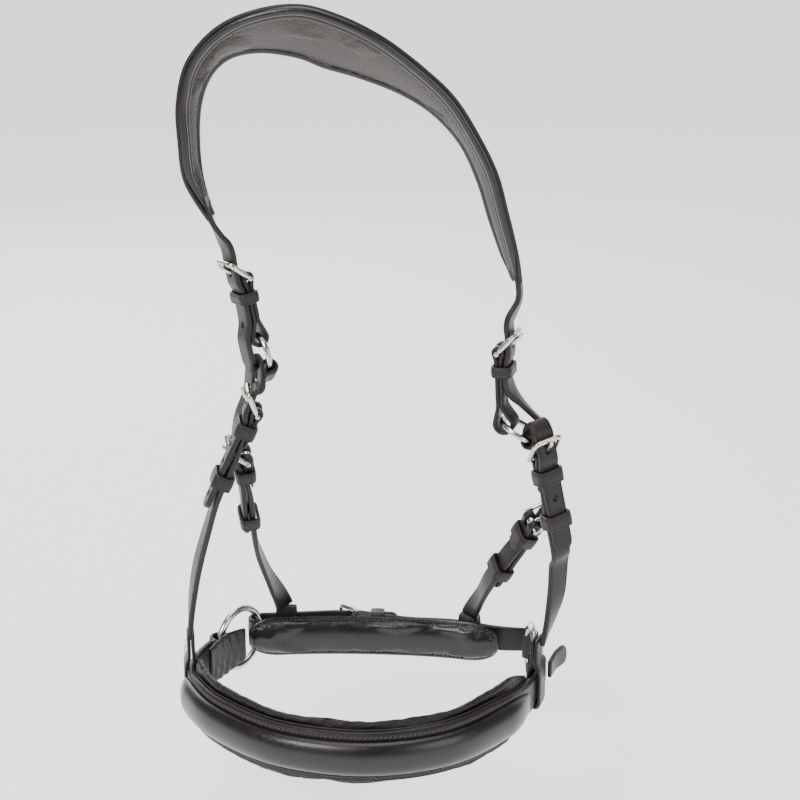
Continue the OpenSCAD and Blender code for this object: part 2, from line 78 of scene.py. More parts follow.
def row(p, n, half, t):
    """One strap section: centre, outward direction, half width and thickness."""
    return [*p, *n, half, t]


def curve_at(rows, s):
    """Catmull-Rom curve through rows at parameters s: a cubic between each two rows whose slope
    at a row is half the step between its neighbours."""
    rows = np.asarray(rows, float)
    m = len(rows) - 1
    i = np.clip(np.floor(s).astype(int), 0, m - 1)
    t = (s - i)[:, None]
    a, b, c, d = rows[np.maximum(i - 1, 0)], rows[i], rows[i + 1], rows[np.minimum(i + 2, m)]
    return 0.5 * (2 * b + (c - a) * t + (2 * a - 5 * b + 4 * c - d) * t**2
                  + (3 * b - a - 3 * c + d) * t**3)


def lengths(points):
    """Distance along a polyline up to each of its points."""
    return np.concatenate([[0], np.cumsum(np.linalg.norm(np.diff(points, axis=0), axis=1))])


def resample(rows, step, near=(), ends=True):
    """Rows spread along a curve every step millimetres, closer round the points in near and
    at the two ends. Arc length is measured on a fine copy and turned back into a parameter."""
    s = np.linspace(0, len(rows) - 1, (len(rows) - 1) * 24 + 1)
    fine = curve_at(rows, s)
    arc = lengths(fine[:, :3])
    total = arc[-1]
    marks = [np.linspace(0, total, max(int(total / step) + 1, 3))]
    if ends:
        marks += [np.array([0.03, 0.12, 0.3, 0.55, 0.85]), total - np.array([0.03, 0.12, 0.3, 0.55, 0.85])]
    for p in near:
        where = arc[np.argmin(np.linalg.norm(fine[:, :3] - np.asarray(p), axis=1))]
        marks.append(where + np.linspace(-2.6, 2.6, 17))
    marks = np.unique(np.clip(np.concatenate(marks), 0, total).round(3))
    return curve_at(rows, np.interp(marks, arc, s)), marks


def smooth(x):
    """Eases 0 to 1 with flat ends."""
    x = np.clip(x, 0, 1)
    return x * x * (3 - 2 * x)


# ---- meshes ----
def put(name, verts, faces, material, slot, body, nodes=(), dark=None, sharp=55):
    """Makes a mesh object from points in millimetres. The winding is turned over if the sum of
    the signed tetrahedra under its faces is negative."""
    verts = np.asarray(verts, float).reshape(-1, 3) * MM
    quads = [f for f in faces if isinstance(f, np.ndarray)]
    polys = [list(map(int, f)) for f in faces if not isinstance(f, np.ndarray)]
    volume = sum(float(np.einsum("ij,ij->", verts[q[:, 0]], np.cross(verts[q[:, 1]], verts[q[:, 2]])
                                 + np.cross(verts[q[:, 2]], verts[q[:, 3]]))) for q in quads)
    every = [f for q in quads for f in q.tolist()] + polys
    if volume < 0:
        every = [f[::-1] for f in every]
    mesh = bpy.data.meshes.new(name)
    mesh.from_pydata(verts.tolist(), [], every)
    # Stores the painted shade of punched hole pits as a per-point attribute for the leather finishes.
    if dark is not None:
        layer = mesh.attributes.new("hole_shade", "FLOAT", "POINT")
        layer.data.foreach_set("value", np.asarray(dark, np.float32))
    mesh.materials.append(material)
    mesh.validate()
    mesh.shade_smooth()
    mesh.set_sharp_from_angle(angle=math.radians(sharp))
    obj = bpy.data.objects.new(name, mesh)
    bpy.context.scene.collection.objects.link(obj)
    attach(obj, body)
    if nodes:
        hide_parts(*nodes)
    return obj


def skin(rings, closed=False, start=0):
    """Quads between neighbouring rings of points, with a flat cap at each end unless closed."""
    m, k = rings.shape[:2]
    i, j = np.meshgrid(np.arange(m if closed else m - 1), np.arange(k), indexing="ij")
    i2, j2 = (i + 1) % m, (j + 1) % k
    q = np.stack([i * k + j, i2 * k + j, i2 * k + j2, i * k + j2], -1).reshape(-1, 4) + start
    if closed:
        return [q]
    return [q, tuple(range(start, start + k)), tuple(range(start + (m - 1) * k + k - 1, start + (m - 1) * k - 1, -1))]


def joined(parts):
    """One point array and face list from several (points, faces) pairs."""
    verts, faces, base = [], [], 0
    for v, fs in parts:
        verts.append(v.reshape(-1, 3))
        faces += [f + base if isinstance(f, np.ndarray) else tuple(x + base for x in f) for f in fs]
        base += v.reshape(-1, 3).shape[0]
    return np.concatenate(verts), faces


def section(half, grooves, holed, edge):
    """Columns of a strap section as signed fractions of its flat half width: evenly spaced, and
    closer at each groove and round the middle where holes are punched."""
    flat = half - edge
    x = [np.linspace(-flat, flat, max(int(half / 0.55) | 1, 5))]
    for g in grooves:
        x += [g + np.array([-0.5, -0.27, -0.13, 0, 0.13, 0.27, 0.5]),
              -g + np.array([-0.5, -0.27, -0.13, 0, 0.13, 0.27, 0.5])]
    if holed:
        x.append(np.array([-2.4, -2.0, -1.7, -1.45, -1.2, -0.8, -0.4, 0, 0.4, 0.8, 1.2, 1.45, 1.7, 2.0, 2.4]))
    x = np.unique(np.clip(np.concatenate(x), -flat, flat).round(2))
    return x / flat


def band(C, N, half, t, closed=False, grooves=(), depth=0.22, holes=(), edge=0.9, swell=0.15,
         round_ends=True, arc=None, back=0.05):
    """A strap carried along a path. Each section is a flat top with creases sunk as bell curves of
    the distance from each groove line, half-ellipse edges and a plainer back; holes are pits whose
    depth falls off with distance from the punch line. Returns points, faces and a painted shade
    value per point that darkens the inside of each pit."""
    C, N = np.asarray(C, float), np.asarray(N, float)
    m = len(C)
    if closed:
        T = unit(np.roll(C, -1, 0) - np.roll(C, 1, 0))
    else:
        T = unit(np.gradient(C, axis=0))
    N = unit(N - np.sum(N * T, 1, keepdims=True) * T)
    W = np.cross(T, N)
    half = np.broadcast_to(np.asarray(half, float), (m,)).copy()
    t = np.broadcast_to(np.asarray(t, float), (m,)).copy()
    if round_ends and not closed:
        a = lengths(C)
        d = np.minimum(a, a[-1] - a)
        g = np.sqrt(np.clip(1 - (1 - np.clip(d / 0.9, 0, 1)) ** 2, 0.02, 1))
        half -= 0.9 * (1 - g)
        t *= 0.25 + 0.75 * g
    f = section(float(half.max()), grooves, len(holes) > 0, edge)
    r = np.minimum(edge, half * 0.45)[:, None]
    flat = half[:, None] - r
    x_top = flat * f[::-1][None]
    lane = np.zeros_like(x_top)
    for g in grooves:
        gg = g + (half[:, None] - half.max()) if g > half.max() * 0.5 else g
        lane += np.exp(-((np.abs(x_top) - gg) / 0.2) ** 2)
    z_top = t[:, None] / 2 + swell * (1 - (x_top / half[:, None]) ** 2) - swell * 0.3 - depth * np.minimum(lane, 1)
    th = np.radians(np.array([65, 40, 15, -15, -40, -65]))
    x_left = -flat - r * np.cos(th)[None]
    z_left = t[:, None] / 2 * np.sin(th)[None]
    fb = np.linspace(-1, 1, 9)
    x_bot = flat * fb[None]
    z_bot = -t[:, None] / 2 + back * np.cos(math.pi * fb / 2)[None]
    x = np.concatenate([x_top, x_left, x_bot, -x_left[:, ::-1]], 1)
    z = np.concatenate([z_top, z_left, z_bot, z_left[:, ::-1]], 1)
    P = C[:, None] + x[..., None] * W[:, None] + z[..., None] * N[:, None]
    hole_shade = np.zeros(x.shape)
    for point, way in holes:
        way = unit(way)
        d = P - np.asarray(point, float)
        along = d @ way
        r_ = np.linalg.norm(d - along[..., None] * way, axis=-1)
        pit = smooth((1.85 - r_) / 0.55) * (np.abs(along) < 4)
        P = P - (np.sign(z) * pit * np.minimum(1.15, t[:, None] * 0.42))[..., None] * N[:, None]
        # Painted shade: 1 inside each punched pit, fading out at its rim, later used to darken the pit.
        hole_shade = np.maximum(hole_shade, smooth((1.75 - r_) / 0.3) * (np.abs(along) < 4))
    return P, skin(P, closed), hole_shade.reshape(-1)


def strap(rows, step=0.9, tip=0.0, tail=0.0, holes=(), **more):
    """A band along a Catmull-Rom path of rows. The half width follows a quarter ellipse over the
    last tip millimetres, and over the first tail millimetres."""
    got, arc = resample(rows, step, [h[0] for h in holes])
    half = got[:, 6].copy()
    if tip:
        half *= np.sqrt(np.clip(1 - np.clip(1 - (arc[-1] - arc) / tip, 0, 1) ** 2.4, 0.03, 1))
    if tail:
        half *= np.sqrt(np.clip(1 - np.clip(1 - arc / tail, 0, 1) ** 2.4, 0.03, 1))
    return band(got[:, :3], got[:, 3:6], half, got[:, 7], holes=holes, **more)


def belt(heel, b, path, half, t, w=0.0, closed=False, step=0.7, **more):
    """A band along a path of (up, out) points in a strap frame; its outside is the across
    direction crossed with the way along the path."""
    path = np.asarray(path, float)
    if closed:
        path = np.vstack([path, path[:1]])
        n = len(path) - 1
        s = np.linspace(0, n, n * 24, endpoint=False)
        i = np.floor(s).astype(int) % n
        u = (s - np.floor(s))[:, None]
        q = path[:-1]
        a, c0, c1, d = q[(i - 1) % n], q[i], q[(i + 1) % n], q[(i + 2) % n]
        fine = 0.5 * (2 * c0 + (c1 - a) * u + (2 * a - 5 * c0 + 4 * c1 - d) * u**2 + (3 * c0 - a - 3 * c1 + d) * u**3)
        total = lengths(np.vstack([fine, fine[:1]]))
        k = max(int(total[-1] / step), 12)
        marks = np.linspace(0, total[-1], k, endpoint=False)
        wrap = np.vstack([fine, fine[:1]])
        got = np.stack([np.interp(marks, total, wrap[:, c]) for c in (0, 1)], 1)
        T2 = unit(np.roll(got, -1, 0) - np.roll(got, 1, 0))
    else:
        got, _ = resample(np.hstack([path, np.zeros((len(path), 1))]), step)
        got = got[:, :2]
        T2 = unit(np.gradient(got, axis=0))
    C = np.asarray(heel, float) + w * b[0] + got[:, :1] * b[1] + got[:, 1:] * b[2]
    T = T2[:, :1] * b[1] + T2[:, 1:] * b[2]
    return band(C, np.cross(np.broadcast_to(b[0], T.shape), T), half, t, closed=closed, **more)


def rod(C, r, axis, closed=False, sides=18):
    """A round bar along a flat path whose plane is square to axis: circles of radius r turned to
    face along the path. Open ends close in a quarter circle."""
    C = np.asarray(C, float)
    T = unit(np.roll(C, -1, 0) - np.roll(C, 1, 0)) if closed else unit(np.gradient(C, axis=0))
    A = np.broadcast_to(unit(axis), C.shape)
    B = np.cross(T, A)
    r = np.broadcast_to(np.asarray(r, float), (len(C),)).copy()
    if not closed:
        a = lengths(C)
        d = np.minimum(a, a[-1] - a)
        r *= np.sqrt(np.clip(1 - (1 - np.clip(d / r.max(), 0, 1)) ** 2, 0.01, 1))
    th = np.linspace(0, 2 * math.pi, sides, endpoint=False)
    P = C[:, None] + r[:, None, None] * (np.cos(th)[None, :, None] * A[:, None] + np.sin(th)[None, :, None] * B[:, None])
    return P, skin(P, closed)


def torus(c, n, r, wire, around=128, sides=24):
    """Ring: a circle of radius wire carried round a circle of radius r square to n."""
    n = unit(n)
    u = unit(np.cross(n, [0.3, 0.2, 0.9]))
    v = np.cross(n, u)
    a = np.linspace(0, 2 * math.pi, around, endpoint=False)
    C = np.asarray(c, float) + r * (np.cos(a)[:, None] * u + np.sin(a)[:, None] * v)
    return rod(C, wire, n, True, sides)


def stitch_row(C, D, N, pitch=2.6, long=2.0, r=0.3, slant=0.0, sink=0.25):
    """Short threads spaced pitch apart along the line C: each is a six-sided spindle whose radius
    follows half a sine along its length, turned by slant away from the line. D is the way across
    the line, N the outward direction. All are placed at once by adding one spindle to each mark."""
    C, D, N = (np.asarray(v, float) for v in (C, D, N))
    arc = lengths(C)
    marks = np.arange(pitch / 2, arc[-1] - pitch / 2, pitch)
    if len(marks) == 0:
        return np.zeros((0, 3)), []
    pick = lambda V: np.stack([np.interp(marks, arc, V[:, k]) for k in range(3)], 1)
    c, n = pick(C), unit(pick(N))
    t = unit(pick(np.gradient(C, axis=0)))
    d = unit(pick(D))
    t = unit(t * math.cos(slant) + d * math.sin(slant))
    s = np.cross(n, t)
    a = np.linspace(-1, 1, 6)
    th = np.linspace(0, 2 * math.pi, 6, endpoint=False)
    prof = r * np.sqrt(np.clip(1 - np.abs(a) ** 3, 0.08, 1))
    base = np.stack([np.broadcast_to(a[:, None] * long / 2, (6, 6)), prof[:, None] * np.cos(th)[None],
                     prof[:, None] * np.sin(th)[None] - sink * a[:, None] ** 2], -1).reshape(-1, 3)
    P = c[:, None] + base[None, :, 0:1] * t[:, None] + base[None, :, 1:2] * s[:, None] + base[None, :, 2:3] * n[:, None]
    k = np.arange(5)[:, None] * 6
    j = np.arange(6)[None]
    q = np.stack([k + j, k + 6 + j, k + 6 + (j + 1) % 6, k + (j + 1) % 6], -1).reshape(-1, 4)
    q = (q[None] + np.arange(len(marks))[:, None, None] * 36).reshape(-1, 4)
    ends = [tuple(range(b, b + 6)) for b in range(0, len(marks) * 36, 36)]
    ends += [tuple(range(b + 35, b + 29, -1)) for b in range(0, len(marks) * 36, 36)]
    return P.reshape(-1, 3), [q] + ends


# ---- finishes ----
def new_material(name):
    """A node material with its shader and a maker of further nodes."""
    m = bpy.data.materials.new(name)
    m.use_nodes = True
    nt = m.node_tree
    shader = nt.nodes["Principled BSDF"]

    def add(kind, **values):
        node = nt.nodes.new(kind)
        for key, value in values.items():
            if key in node.inputs:
                node.inputs[key].default_value = value
            else:
                setattr(node, key, value)
        return node
    return m, nt.links.new, shader, add


def leather(name, colour, rough, grain, bump, coat=0.0, light=1.5, sheen=0.0):
    """Grained leather: colour and gloss drift with slow noise, the relief adds cell borders of size
    1/grain to fine noise, and a per-point attribute paints shade, near black, into punched hole pits."""
    m, link, shader, add = new_material(name)
    place = add("ShaderNodeTexCoord")
    slow = add("ShaderNodeTexNoise", Scale=38.0, Detail=4.0, Roughness=0.6)
    cells = add("ShaderNodeTexVoronoi", Scale=grain, feature="DISTANCE_TO_EDGE")
    fine = add("ShaderNodeTexNoise", Scale=grain * 1.7, Detail=5.0, Roughness=0.65)
    warp = add("ShaderNodeTexNoise", Scale=grain * 0.35, Detail=2.0)
    shift = add("ShaderNodeVectorMath", operation="MULTIPLY_ADD")
    shift.inputs[1].default_value = (1.1 / grain,) * 3
    link(place.outputs["Object"], slow.inputs["Vector"])
    link(place.outputs["Object"], warp.inputs["Vector"])
    link(warp.outputs["Color"], shift.inputs[0])
    link(place.outputs["Object"], shift.inputs[2])
    link(shift.outputs[0], cells.inputs["Vector"])
    link(place.outputs["Object"], fine.inputs["Vector"])
    ramp = add("ShaderNodeValToRGB")
    ramp.color_ramp.elements[0].position = 0.3
    ramp.color_ramp.elements[1].position = 0.72
    ramp.color_ramp.elements[0].color = (*[c * 0.72 for c in colour], 1)
    ramp.color_ramp.elements[1].color = (*[min(c * light, 1) for c in colour], 1)
    link(slow.outputs["Fac"], ramp.inputs["Fac"])
    # Painted shade: the inside of each punched hole pit is mixed towards near black by its per-point value.
    hole_shade = add("ShaderNodeAttribute", attribute_name="hole_shade")
    mix = add("ShaderNodeMix", data_type="RGBA")
    mix.inputs["B"].default_value = (0.004, 0.003, 0.003, 1)
    mix.inputs[7].default_value = (0.004, 0.003, 0.003, 1)
    link(ramp.outputs["Color"], mix.inputs[6])
    link(hole_shade.outputs["Fac"], mix.inputs[0])
    link(mix.outputs[2], shader.inputs["Base Color"])
    gloss = add("ShaderNodeMapRange")
    gloss.inputs["To Min"].default_value = rough - 0.08
    gloss.inputs["To Max"].default_value = rough + 0.1
    link(slow.outputs["Fac"], gloss.inputs["Value"])
    link(gloss.outputs[0], shader.inputs["Roughness"])
    edge = add("ShaderNodeMapRange")
    edge.inputs["From Max"].default_value = 0.22
    link(cells.outputs["Distance"], edge.inputs["Value"])
    total = add("ShaderNodeMath", operation="MULTIPLY_ADD")
    total.inputs[1].default_value = 0.55
    link(fine.outputs["Fac"], total.inputs[0])
    link(edge.outputs[0], total.inputs[2])
    relief = add("ShaderNodeBump", Strength=bump, Distance=0.00022)
    link(total.outputs[0], relief.inputs["Height"])
    link(relief.outputs[0], shader.inputs["Normal"])
    shader.inputs["Coat Weight"].default_value = coat
    shader.inputs["Coat Roughness"].default_value = 0.22
    shader.inputs["Specular IOR Level"].default_value = 0.33
    shader.inputs["Sheen Weight"].default_value = sheen
    return m


def plated(name, colour, rough):
    """Polished plating with faint cloudy dulling."""
    m, link, shader, add = new_material(name)
    place = add("ShaderNodeTexCoord")
    cloud = add("ShaderNodeTexNoise", Scale=260.0, Detail=4.0)
    link(place.outputs["Object"], cloud.inputs["Vector"])
    gloss = add("ShaderNodeMapRange")
    gloss.inputs["To Min"].default_value = rough - 0.05
    gloss.inputs["To Max"].default_value = rough + 0.12
    link(cloud.outputs["Fac"], gloss.inputs["Value"])
    link(gloss.outputs[0], shader.inputs["Roughness"])
    shader.inputs["Base Color"].default_value = (*colour, 1)
    shader.inputs["Metallic"].default_value = 1.0
    return m


def plain(name, colour, rough):
    """A single flat colour."""
    m, _, shader, _ = new_material(name)
    shader.inputs["Base Color"].default_value = (*colour, 1)
    shader.inputs["Roughness"].default_value = rough
    return m


MATS = {}


def finishes():
    """Every finish, made once from the look settings."""
    if not MATS:
        look = bpy.context.scene.headcollar_look
        black, gloss = tuple(look.leather_colour), look.leather_roughness
        soft = tuple(c * 0.8 for c in black)
        MATS.update(
            strap=leather("bridle leather", black, gloss, 900.0, 0.35, 0.06),
            glossy=leather("polished padded leather", tuple(c * 0.75 for c in black), gloss - 0.12, 1100.0, 0.22, 0.3),
            soft=leather("soft leather", soft, gloss + 0.04, 620.0, 0.6, 0.05),
            lining=leather("pebbled lining leather", tuple(look.lining_colour), 0.52, 520.0, 1.0, 0.0, 1.35, 0.06),
            thread=plain("waxed thread", tuple(look.thread_colour), 0.55),
            seam=plain("piping thread", tuple(look.piping_colour), 0.6),
            metal=plated("nickel plating", tuple(look.metal_colour), look.metal_roughness))
    return MATS


# ---- places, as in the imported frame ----
HEELS = {
    "left_cheek": (np.array([-29.5, 0, -118]), strap_frame([-0.18, 0, 1], [-0.85, -0.5, 0])),
    "right_cheek": (np.array([101.5, 0, -157]), strap_frame([-0.05, 0, 1], [0.95, -0.3, 0])),
    "left_front": (np.array([-24.0, -6, -188]), strap_frame([0.41, -0.03, 0.91], [-0.92, -0.15, 0.36])),
    "left_rear": (np.array([-32.0, 18, -221]), strap_frame([-0.02, -0.4, 0.92], [-0.97, -0.2, -0.1])),
    "right_front": (np.array([123.5, -9, -211]), strap_frame([-0.2, 0.02, 0.98], [0.5, -0.86, 0.1])),
    "right_rear": (np.array([121.5, 30, -264]), strap_frame([0.42, -0.36, 0.83], [0.85, 0.35, -0.15])),
    "jaw": (np.array([25.0, 79.5, NOSE_Z]), strap_frame([-1, 0.02, 0], [0, 1, 0])),
}
CHEEK_R, SIDE_R = 10.5, 17.5
LEFT_RING_B = HEELS["left_cheek"][1]
LEFT_RING = at(*HEELS["left_cheek"], 0, -31 - CHEEK_R, 0)
RIGHT_RING_B = strap_frame([-0.87, 0.13, 0.47], [-0.465, 0.07, -0.88])
RIGHT_RING = at(*HEELS["right_cheek"], 0, -38, 0) - CHEEK_R * RIGHT_RING_B[1]
LEFT_SIDE, LEFT_SIDE_DIR = np.array([-42.0, 64, NOSE_Z]), np.array([0.6, 0.8, 0])
RIGHT_SIDE, RIGHT_SIDE_DIR = np.array([124.0, 40, NOSE_Z]), unit([-0.06, 1, 0])
EYES = {
    "left_front": LEFT_SIDE - (SIDE_R - 0.9) * LEFT_SIDE_DIR,
    "left_rear": LEFT_SIDE + (SIDE_R - 0.9) * LEFT_SIDE_DIR,
    "right_front": RIGHT_SIDE - (SIDE_R - 0.9) * RIGHT_SIDE_DIR,
    "right_rear": RIGHT_SIDE + (SIDE_R - 0.9) * RIGHT_SIDE_DIR,
}
HANGER_W, CHEEK_W, JAW_W = 11.5, 12.0, 15.0
TAILS = {"left_front": (60, 42), "right_front": (53, 36), "left_rear": (56, 46), "right_rear": (54, 40)}


def lie(l):
    """Height of a billet's middle over its heel bar at distance l: over the fold, then flat."""
    return BILLET_OUT if l > -2.5 else FLAT_OUT + 0.1 if l > -7 else FLAT_OUT


def holes_of(key, places):
    """Punch lines of the slot under the buckle and of the adjustment holes of one billet."""
    heel, b = HEELS[key]
    return [(at(heel, b, 0, l, lie(l)), b[2]) for l in places]


def fold_path(low, gap, r, top=0.0):
    """Up the front layer, round a heel bar and down the back layer, as (up, out) points: two
    straight runs gap apart joined by a circle of radius r."""
    a = np.radians(np.array([-28, 0, 30, 60, 90, 120, 150, 180, 208]))
    loop = [(top + r * math.sin(x), r * math.cos(x)) for x in a]
    side = [(-low, gap), (-low * 0.55, gap), (-6.2, gap + 0.02), (-3.9, gap + 0.35)]
    return side + loop + [(l, -n) for l, n in side[::-1]]


def heel_loops(key, half, gap, r, t):
    """The two side strips of a strap's fold round its heel bar, either side of the tongue slit."""
    heel, b = HEELS[key]
    strip = (half - 1.95) / 2
    path = fold_path(7.5, gap, r)
    return [belt(heel, b, path, strip, t, w=s * (1.95 + strip), edge=0.5, swell=0.05, step=0.5) for s in (-1, 1)]


def side_stitches(key, half, start, stop, out, inset=1.9, slant=0.0):
    """Two thread rows, inset from a strap's edges, between two distances from its heel bar."""
    heel, b = HEELS[key]
    parts = []
    for s in (-1, 1):
        C = np.array([at(heel, b, s * (half - inset), l, out) for l in (start, (start + stop) / 2, stop)])
        parts.append(stitch_row(C, np.tile(b[0], (3, 1)), np.tile(b[2] * np.sign(out), (3, 1)), 2.5, 1.8, 0.27, slant))
    return parts


# ---- metal pieces ----
def buckle_parts(key, width, bent=2.5):
    """Frame of a buckle: one bar round a rectangle with rounded front corners and a thinner heel
    bar, leaning away from its strap."""
    heel, b = HEELS[key]
    c, s = math.cos(math.radians(LEAN)), math.sin(math.radians(LEAN))
    up, out = c * b[1] + s * b[2], -s * b[1] + c * b[2]
    half = width / 2 + 2.1
    a = np.radians(np.linspace(0, 90, 7))
    right = [(half, y) for y in (0, 2.5, 5, 7.5, 10)] + [(half - bent + bent * math.cos(x), 13 - bent + bent * math.sin(x)) for x in a]
    front = [(x, 13.0) for x in np.linspace(half - bent, -half + bent, 7)[1:-1]]
    path = np.array(right + front + [(-x, y) for x, y in right[::-1]])
    C = heel + path[:, :1] * b[0] + path[:, 1:] * up
    bars = [rod(C, 1.3, out, sides=20)]
    x = np.linspace(-half, half, 9)[:, None]
    bars.append(rod(heel + x * b[0], 1.2, up, sides=20))
    for sgn in (-1, 1):
        knob = np.linspace(-1.35, 1.35, 7)[:, None]
        bars.append(rod(heel + sgn * half * b[0] + knob * b[0], 1.34, up, sides=20))
    return bars


def tongue_parts(key):
    """Tongue of a buckle: a bar tapering towards a tip that dips over the front bar, and a short
    tube bent round the heel bar."""
    heel, b = HEELS[key]
    c, s = math.cos(math.radians(TONGUE_LEAN)), math.sin(math.radians(TONGUE_LEAN))
    up, out = c * b[1] + s * b[2], -s * b[1] + c * b[2]
    l = np.linspace(1.4, 15.9, 26)
    dip = 0.35 * np.sin(math.pi * l / 16) - 0.55 * smooth((l - 13) / 3)
    C = heel + l[:, None] * up + dip[:, None] * out
    r = 1.18 - 0.25 * smooth((l - 9) / 7)
    a = np.linspace(0, 2 * math.pi, 40, endpoint=False)
    ring = heel + 1.78 * (np.cos(a)[:, None] * up + np.sin(a)[:, None] * out)
    hub, faces, _ = band(ring, unit(ring - heel), 1.5, 0.95, closed=True, edge=0.3, swell=0.02)
    return [rod(C, r, b[0], sides=16), (hub, faces)]


class HEADCOLLAR_OT_metal(bpy.types.Operator):
    """Make the plated buckles, tongues and rings"""
    bl_idname = "headcollar.metal"
    bl_label = "Buckles and Rings"

    def execute(self, context):
        metal = finishes()["metal"]
        for key in HEELS:
            width = CHEEK_W if "cheek" in key else JAW_W if key == "jaw" else HANGER_W
            root = "headpiece" if "cheek" in key else "nosepiece"
            put(f"{key}_buckle_frame", *joined(buckle_parts(key, width)), metal, "nickel", root, [f"{key}_buckle"])
            put(f"{key}_buckle_tongue", *joined(tongue_parts(key)), metal, "nickel", f"{key}_tongue", [f"{key}_tongue"])
        for name, c, n, r, wire in (
                ("left_cheek_ring", LEFT_RING, LEFT_RING_B[2], CHEEK_R, 1.5),
                ("right_cheek_ring", RIGHT_RING, RIGHT_RING_B[2], CHEEK_R, 1.5),
                ("left_side_ring", LEFT_SIDE, [-0.8, 0.6, 0], SIDE_R, 2.0),
                ("right_side_ring", RIGHT_SIDE, strap_frame(RIGHT_SIDE_DIR, [1, 0, 0])[2], SIDE_R, 2.0)):
            put(f"{name}_wire", *torus(c, n, r, wire), metal, "nickel", name, [name])
        return {"FINISHED"}


# ---- keepers ----
def keeper_loop(key, width, l, long=8.0):
    """Keeper: a creased band round a rounded rectangle that clears both strap layers."""
    heel, b = HEELS[key]
    low, high, side = -TAB - 1.1, FLAT_OUT + BILLET / 2 + 1.1, width / 2 + 1.1
    r = 2.3
    a = np.radians(np.linspace(0, 90, 6))
    corners = [(side - r, high - r, 0), (-side + r, high - r, 90), (-side + r, low + r, 180), (side - r, low + r, 270)]
    path = []
    for x, n, turn in corners:
        path += [(x + r * math.cos(v + math.radians(turn)), n + r * math.sin(v + math.radians(turn))) for v in a]
    path = np.array(path)
    close = np.vstack([path, path[:1]])
    arc = lengths(close)
    marks = np.linspace(0, arc[-1], 84, endpoint=False)
    p = np.stack([np.interp(marks, arc, close[:, k]) for k in (0, 1)], 1)
    mid = np.array([0, (low + high) / 2])
    C = heel + l * b[1] + p[:, :1] * b[0] + p[:, 1:] * b[2]
    T = unit(np.roll(C, -1, 0) - np.roll(C, 1, 0))
    N = np.cross(T, np.broadcast_to(b[1], T.shape))
    away = (p - mid)[:, :1] * b[0] + (p - mid)[:, 1:] * b[2]
    if np.sum(N * away) < 0:
        N = -N
    return band(C, N, long / 2, 1.5, closed=True, grooves=(long / 2 - 1.2,), depth=0.2, edge=0.55, swell=0.25)


class HEADCOLLAR_OT_keepers(bpy.types.Operator):
    """Make the fixed and sliding keepers"""
    bl_idname = "headcollar.keepers"
    bl_label = "Keepers"

    def execute(self, context):
        mat = finishes()["strap"]
        for key in HEELS:
            cheek = "cheek" in key
            width = CHEEK_W if cheek else JAW_W if key == "jaw" else HANGER_W
            l, long = (-10, 6.0) if cheek else (-12, 8.0) if key == "jaw" else (-11, 8.0)
            v, f, hole_shade = keeper_loop(key, width, l, long)
            put(f"{key}_fixed_keeper", v.reshape(-1, 3), f, mat, "strap_leather",
                "headpiece" if cheek else "nosepiece", [f"{key}_keeper"], hole_shade)
            if key in TAILS:
                v, f, hole_shade = keeper_loop(key, width, -TAILS[key][1])
                put(f"{key}_sliding_keeper", v.reshape(-1, 3), f, mat, "strap_leather", f"{key}_runner", [f"{key}_runner"], hole_shade)
        return {"FINISHED"}


def add_bands(name, bands, material, slot, body, nodes):
    """One object from several bands."""
    v, f = joined([(x[0], x[1]) for x in bands])
    hole_shade = np.concatenate([x[2] if len(x) > 2 else np.zeros(x[0].reshape(-1, 3).shape[0]) for x in bands])
    return put(name, v, f, material, slot, body, nodes, hole_shade)


def add_threads(name, parts, material, slot, body):
    """One object from several thread rows."""
    v, f = joined([p for p in parts if len(p[0])])
    return put(name, v, f, material, slot, body)


# ---- headpiece straps ----
def cheek_rows(key):
    """Sections of a cheek billet, crown end to tip."""
    heel, b = HEELS[key]
    down = [row(at(heel, b, 0, l, lie(l)), b[2], 6, BILLET) for l in (16, 8, -1.5, -6.5, -18)]
    if key == "left_cheek":
        top = [row([-48.5, 0, -76], [-0.95, 0.1, -0.3], 5.5, BILLET), row([-45, 0, -88], [-0.93, -0.1, -0.32], 6, BILLET),
               row([-40.2, -1, -97.5], [-0.88, -0.35, -0.3], 6, BILLET)]
        low = [row(at(heel, b, 0, l, o), b[2], 6, BILLET) for l, o in ((-24, 4.2), (-28, 5.5), (-32, 6.7), (-38, 6.8), (-47.5, 6.5))]
    else:
        top = [row([106.5, 0, -108], [0.95, 0, 0.2], 5.5, BILLET), row([110, 0, -120], [0.97, -0.1, 0.1], 6, BILLET),
               row([110.5, 0, -130], [0.97, -0.2, -0.05], 6, BILLET)]
        low = [row([111.5, 2.5, -184], [0.9, 0, 0.35], 6, BILLET), row([119, 5, -193], [0.75, 0.1, 0.6], 6, BILLET),
               row([124.8, 7, -199], [0.7, 0.1, 0.7], 6, BILLET)]
    return top + down + low


def tab_path(low, n_off, r_eye, gap, r, top_l):
    """Closed run of a doubled tab below its heel fold: down the front, round the ring at the
    bottom and up the back, as (up, out) points."""
    a = np.radians(np.array([15, -15, -45, -75, -105, -135, -165, -195]))
    eye = [(-low + r_eye * math.sin(x), n_off + r_eye * math.cos(x)) for x in a]
    run = [(top_l, gap), (-12, gap), (-low * 0.6, gap + 0.05), (-low + 9, gap + 0.1)]
    back = [(l, -n) for l, n in run[::-1]]
    return (run + eye + back)[::-1]


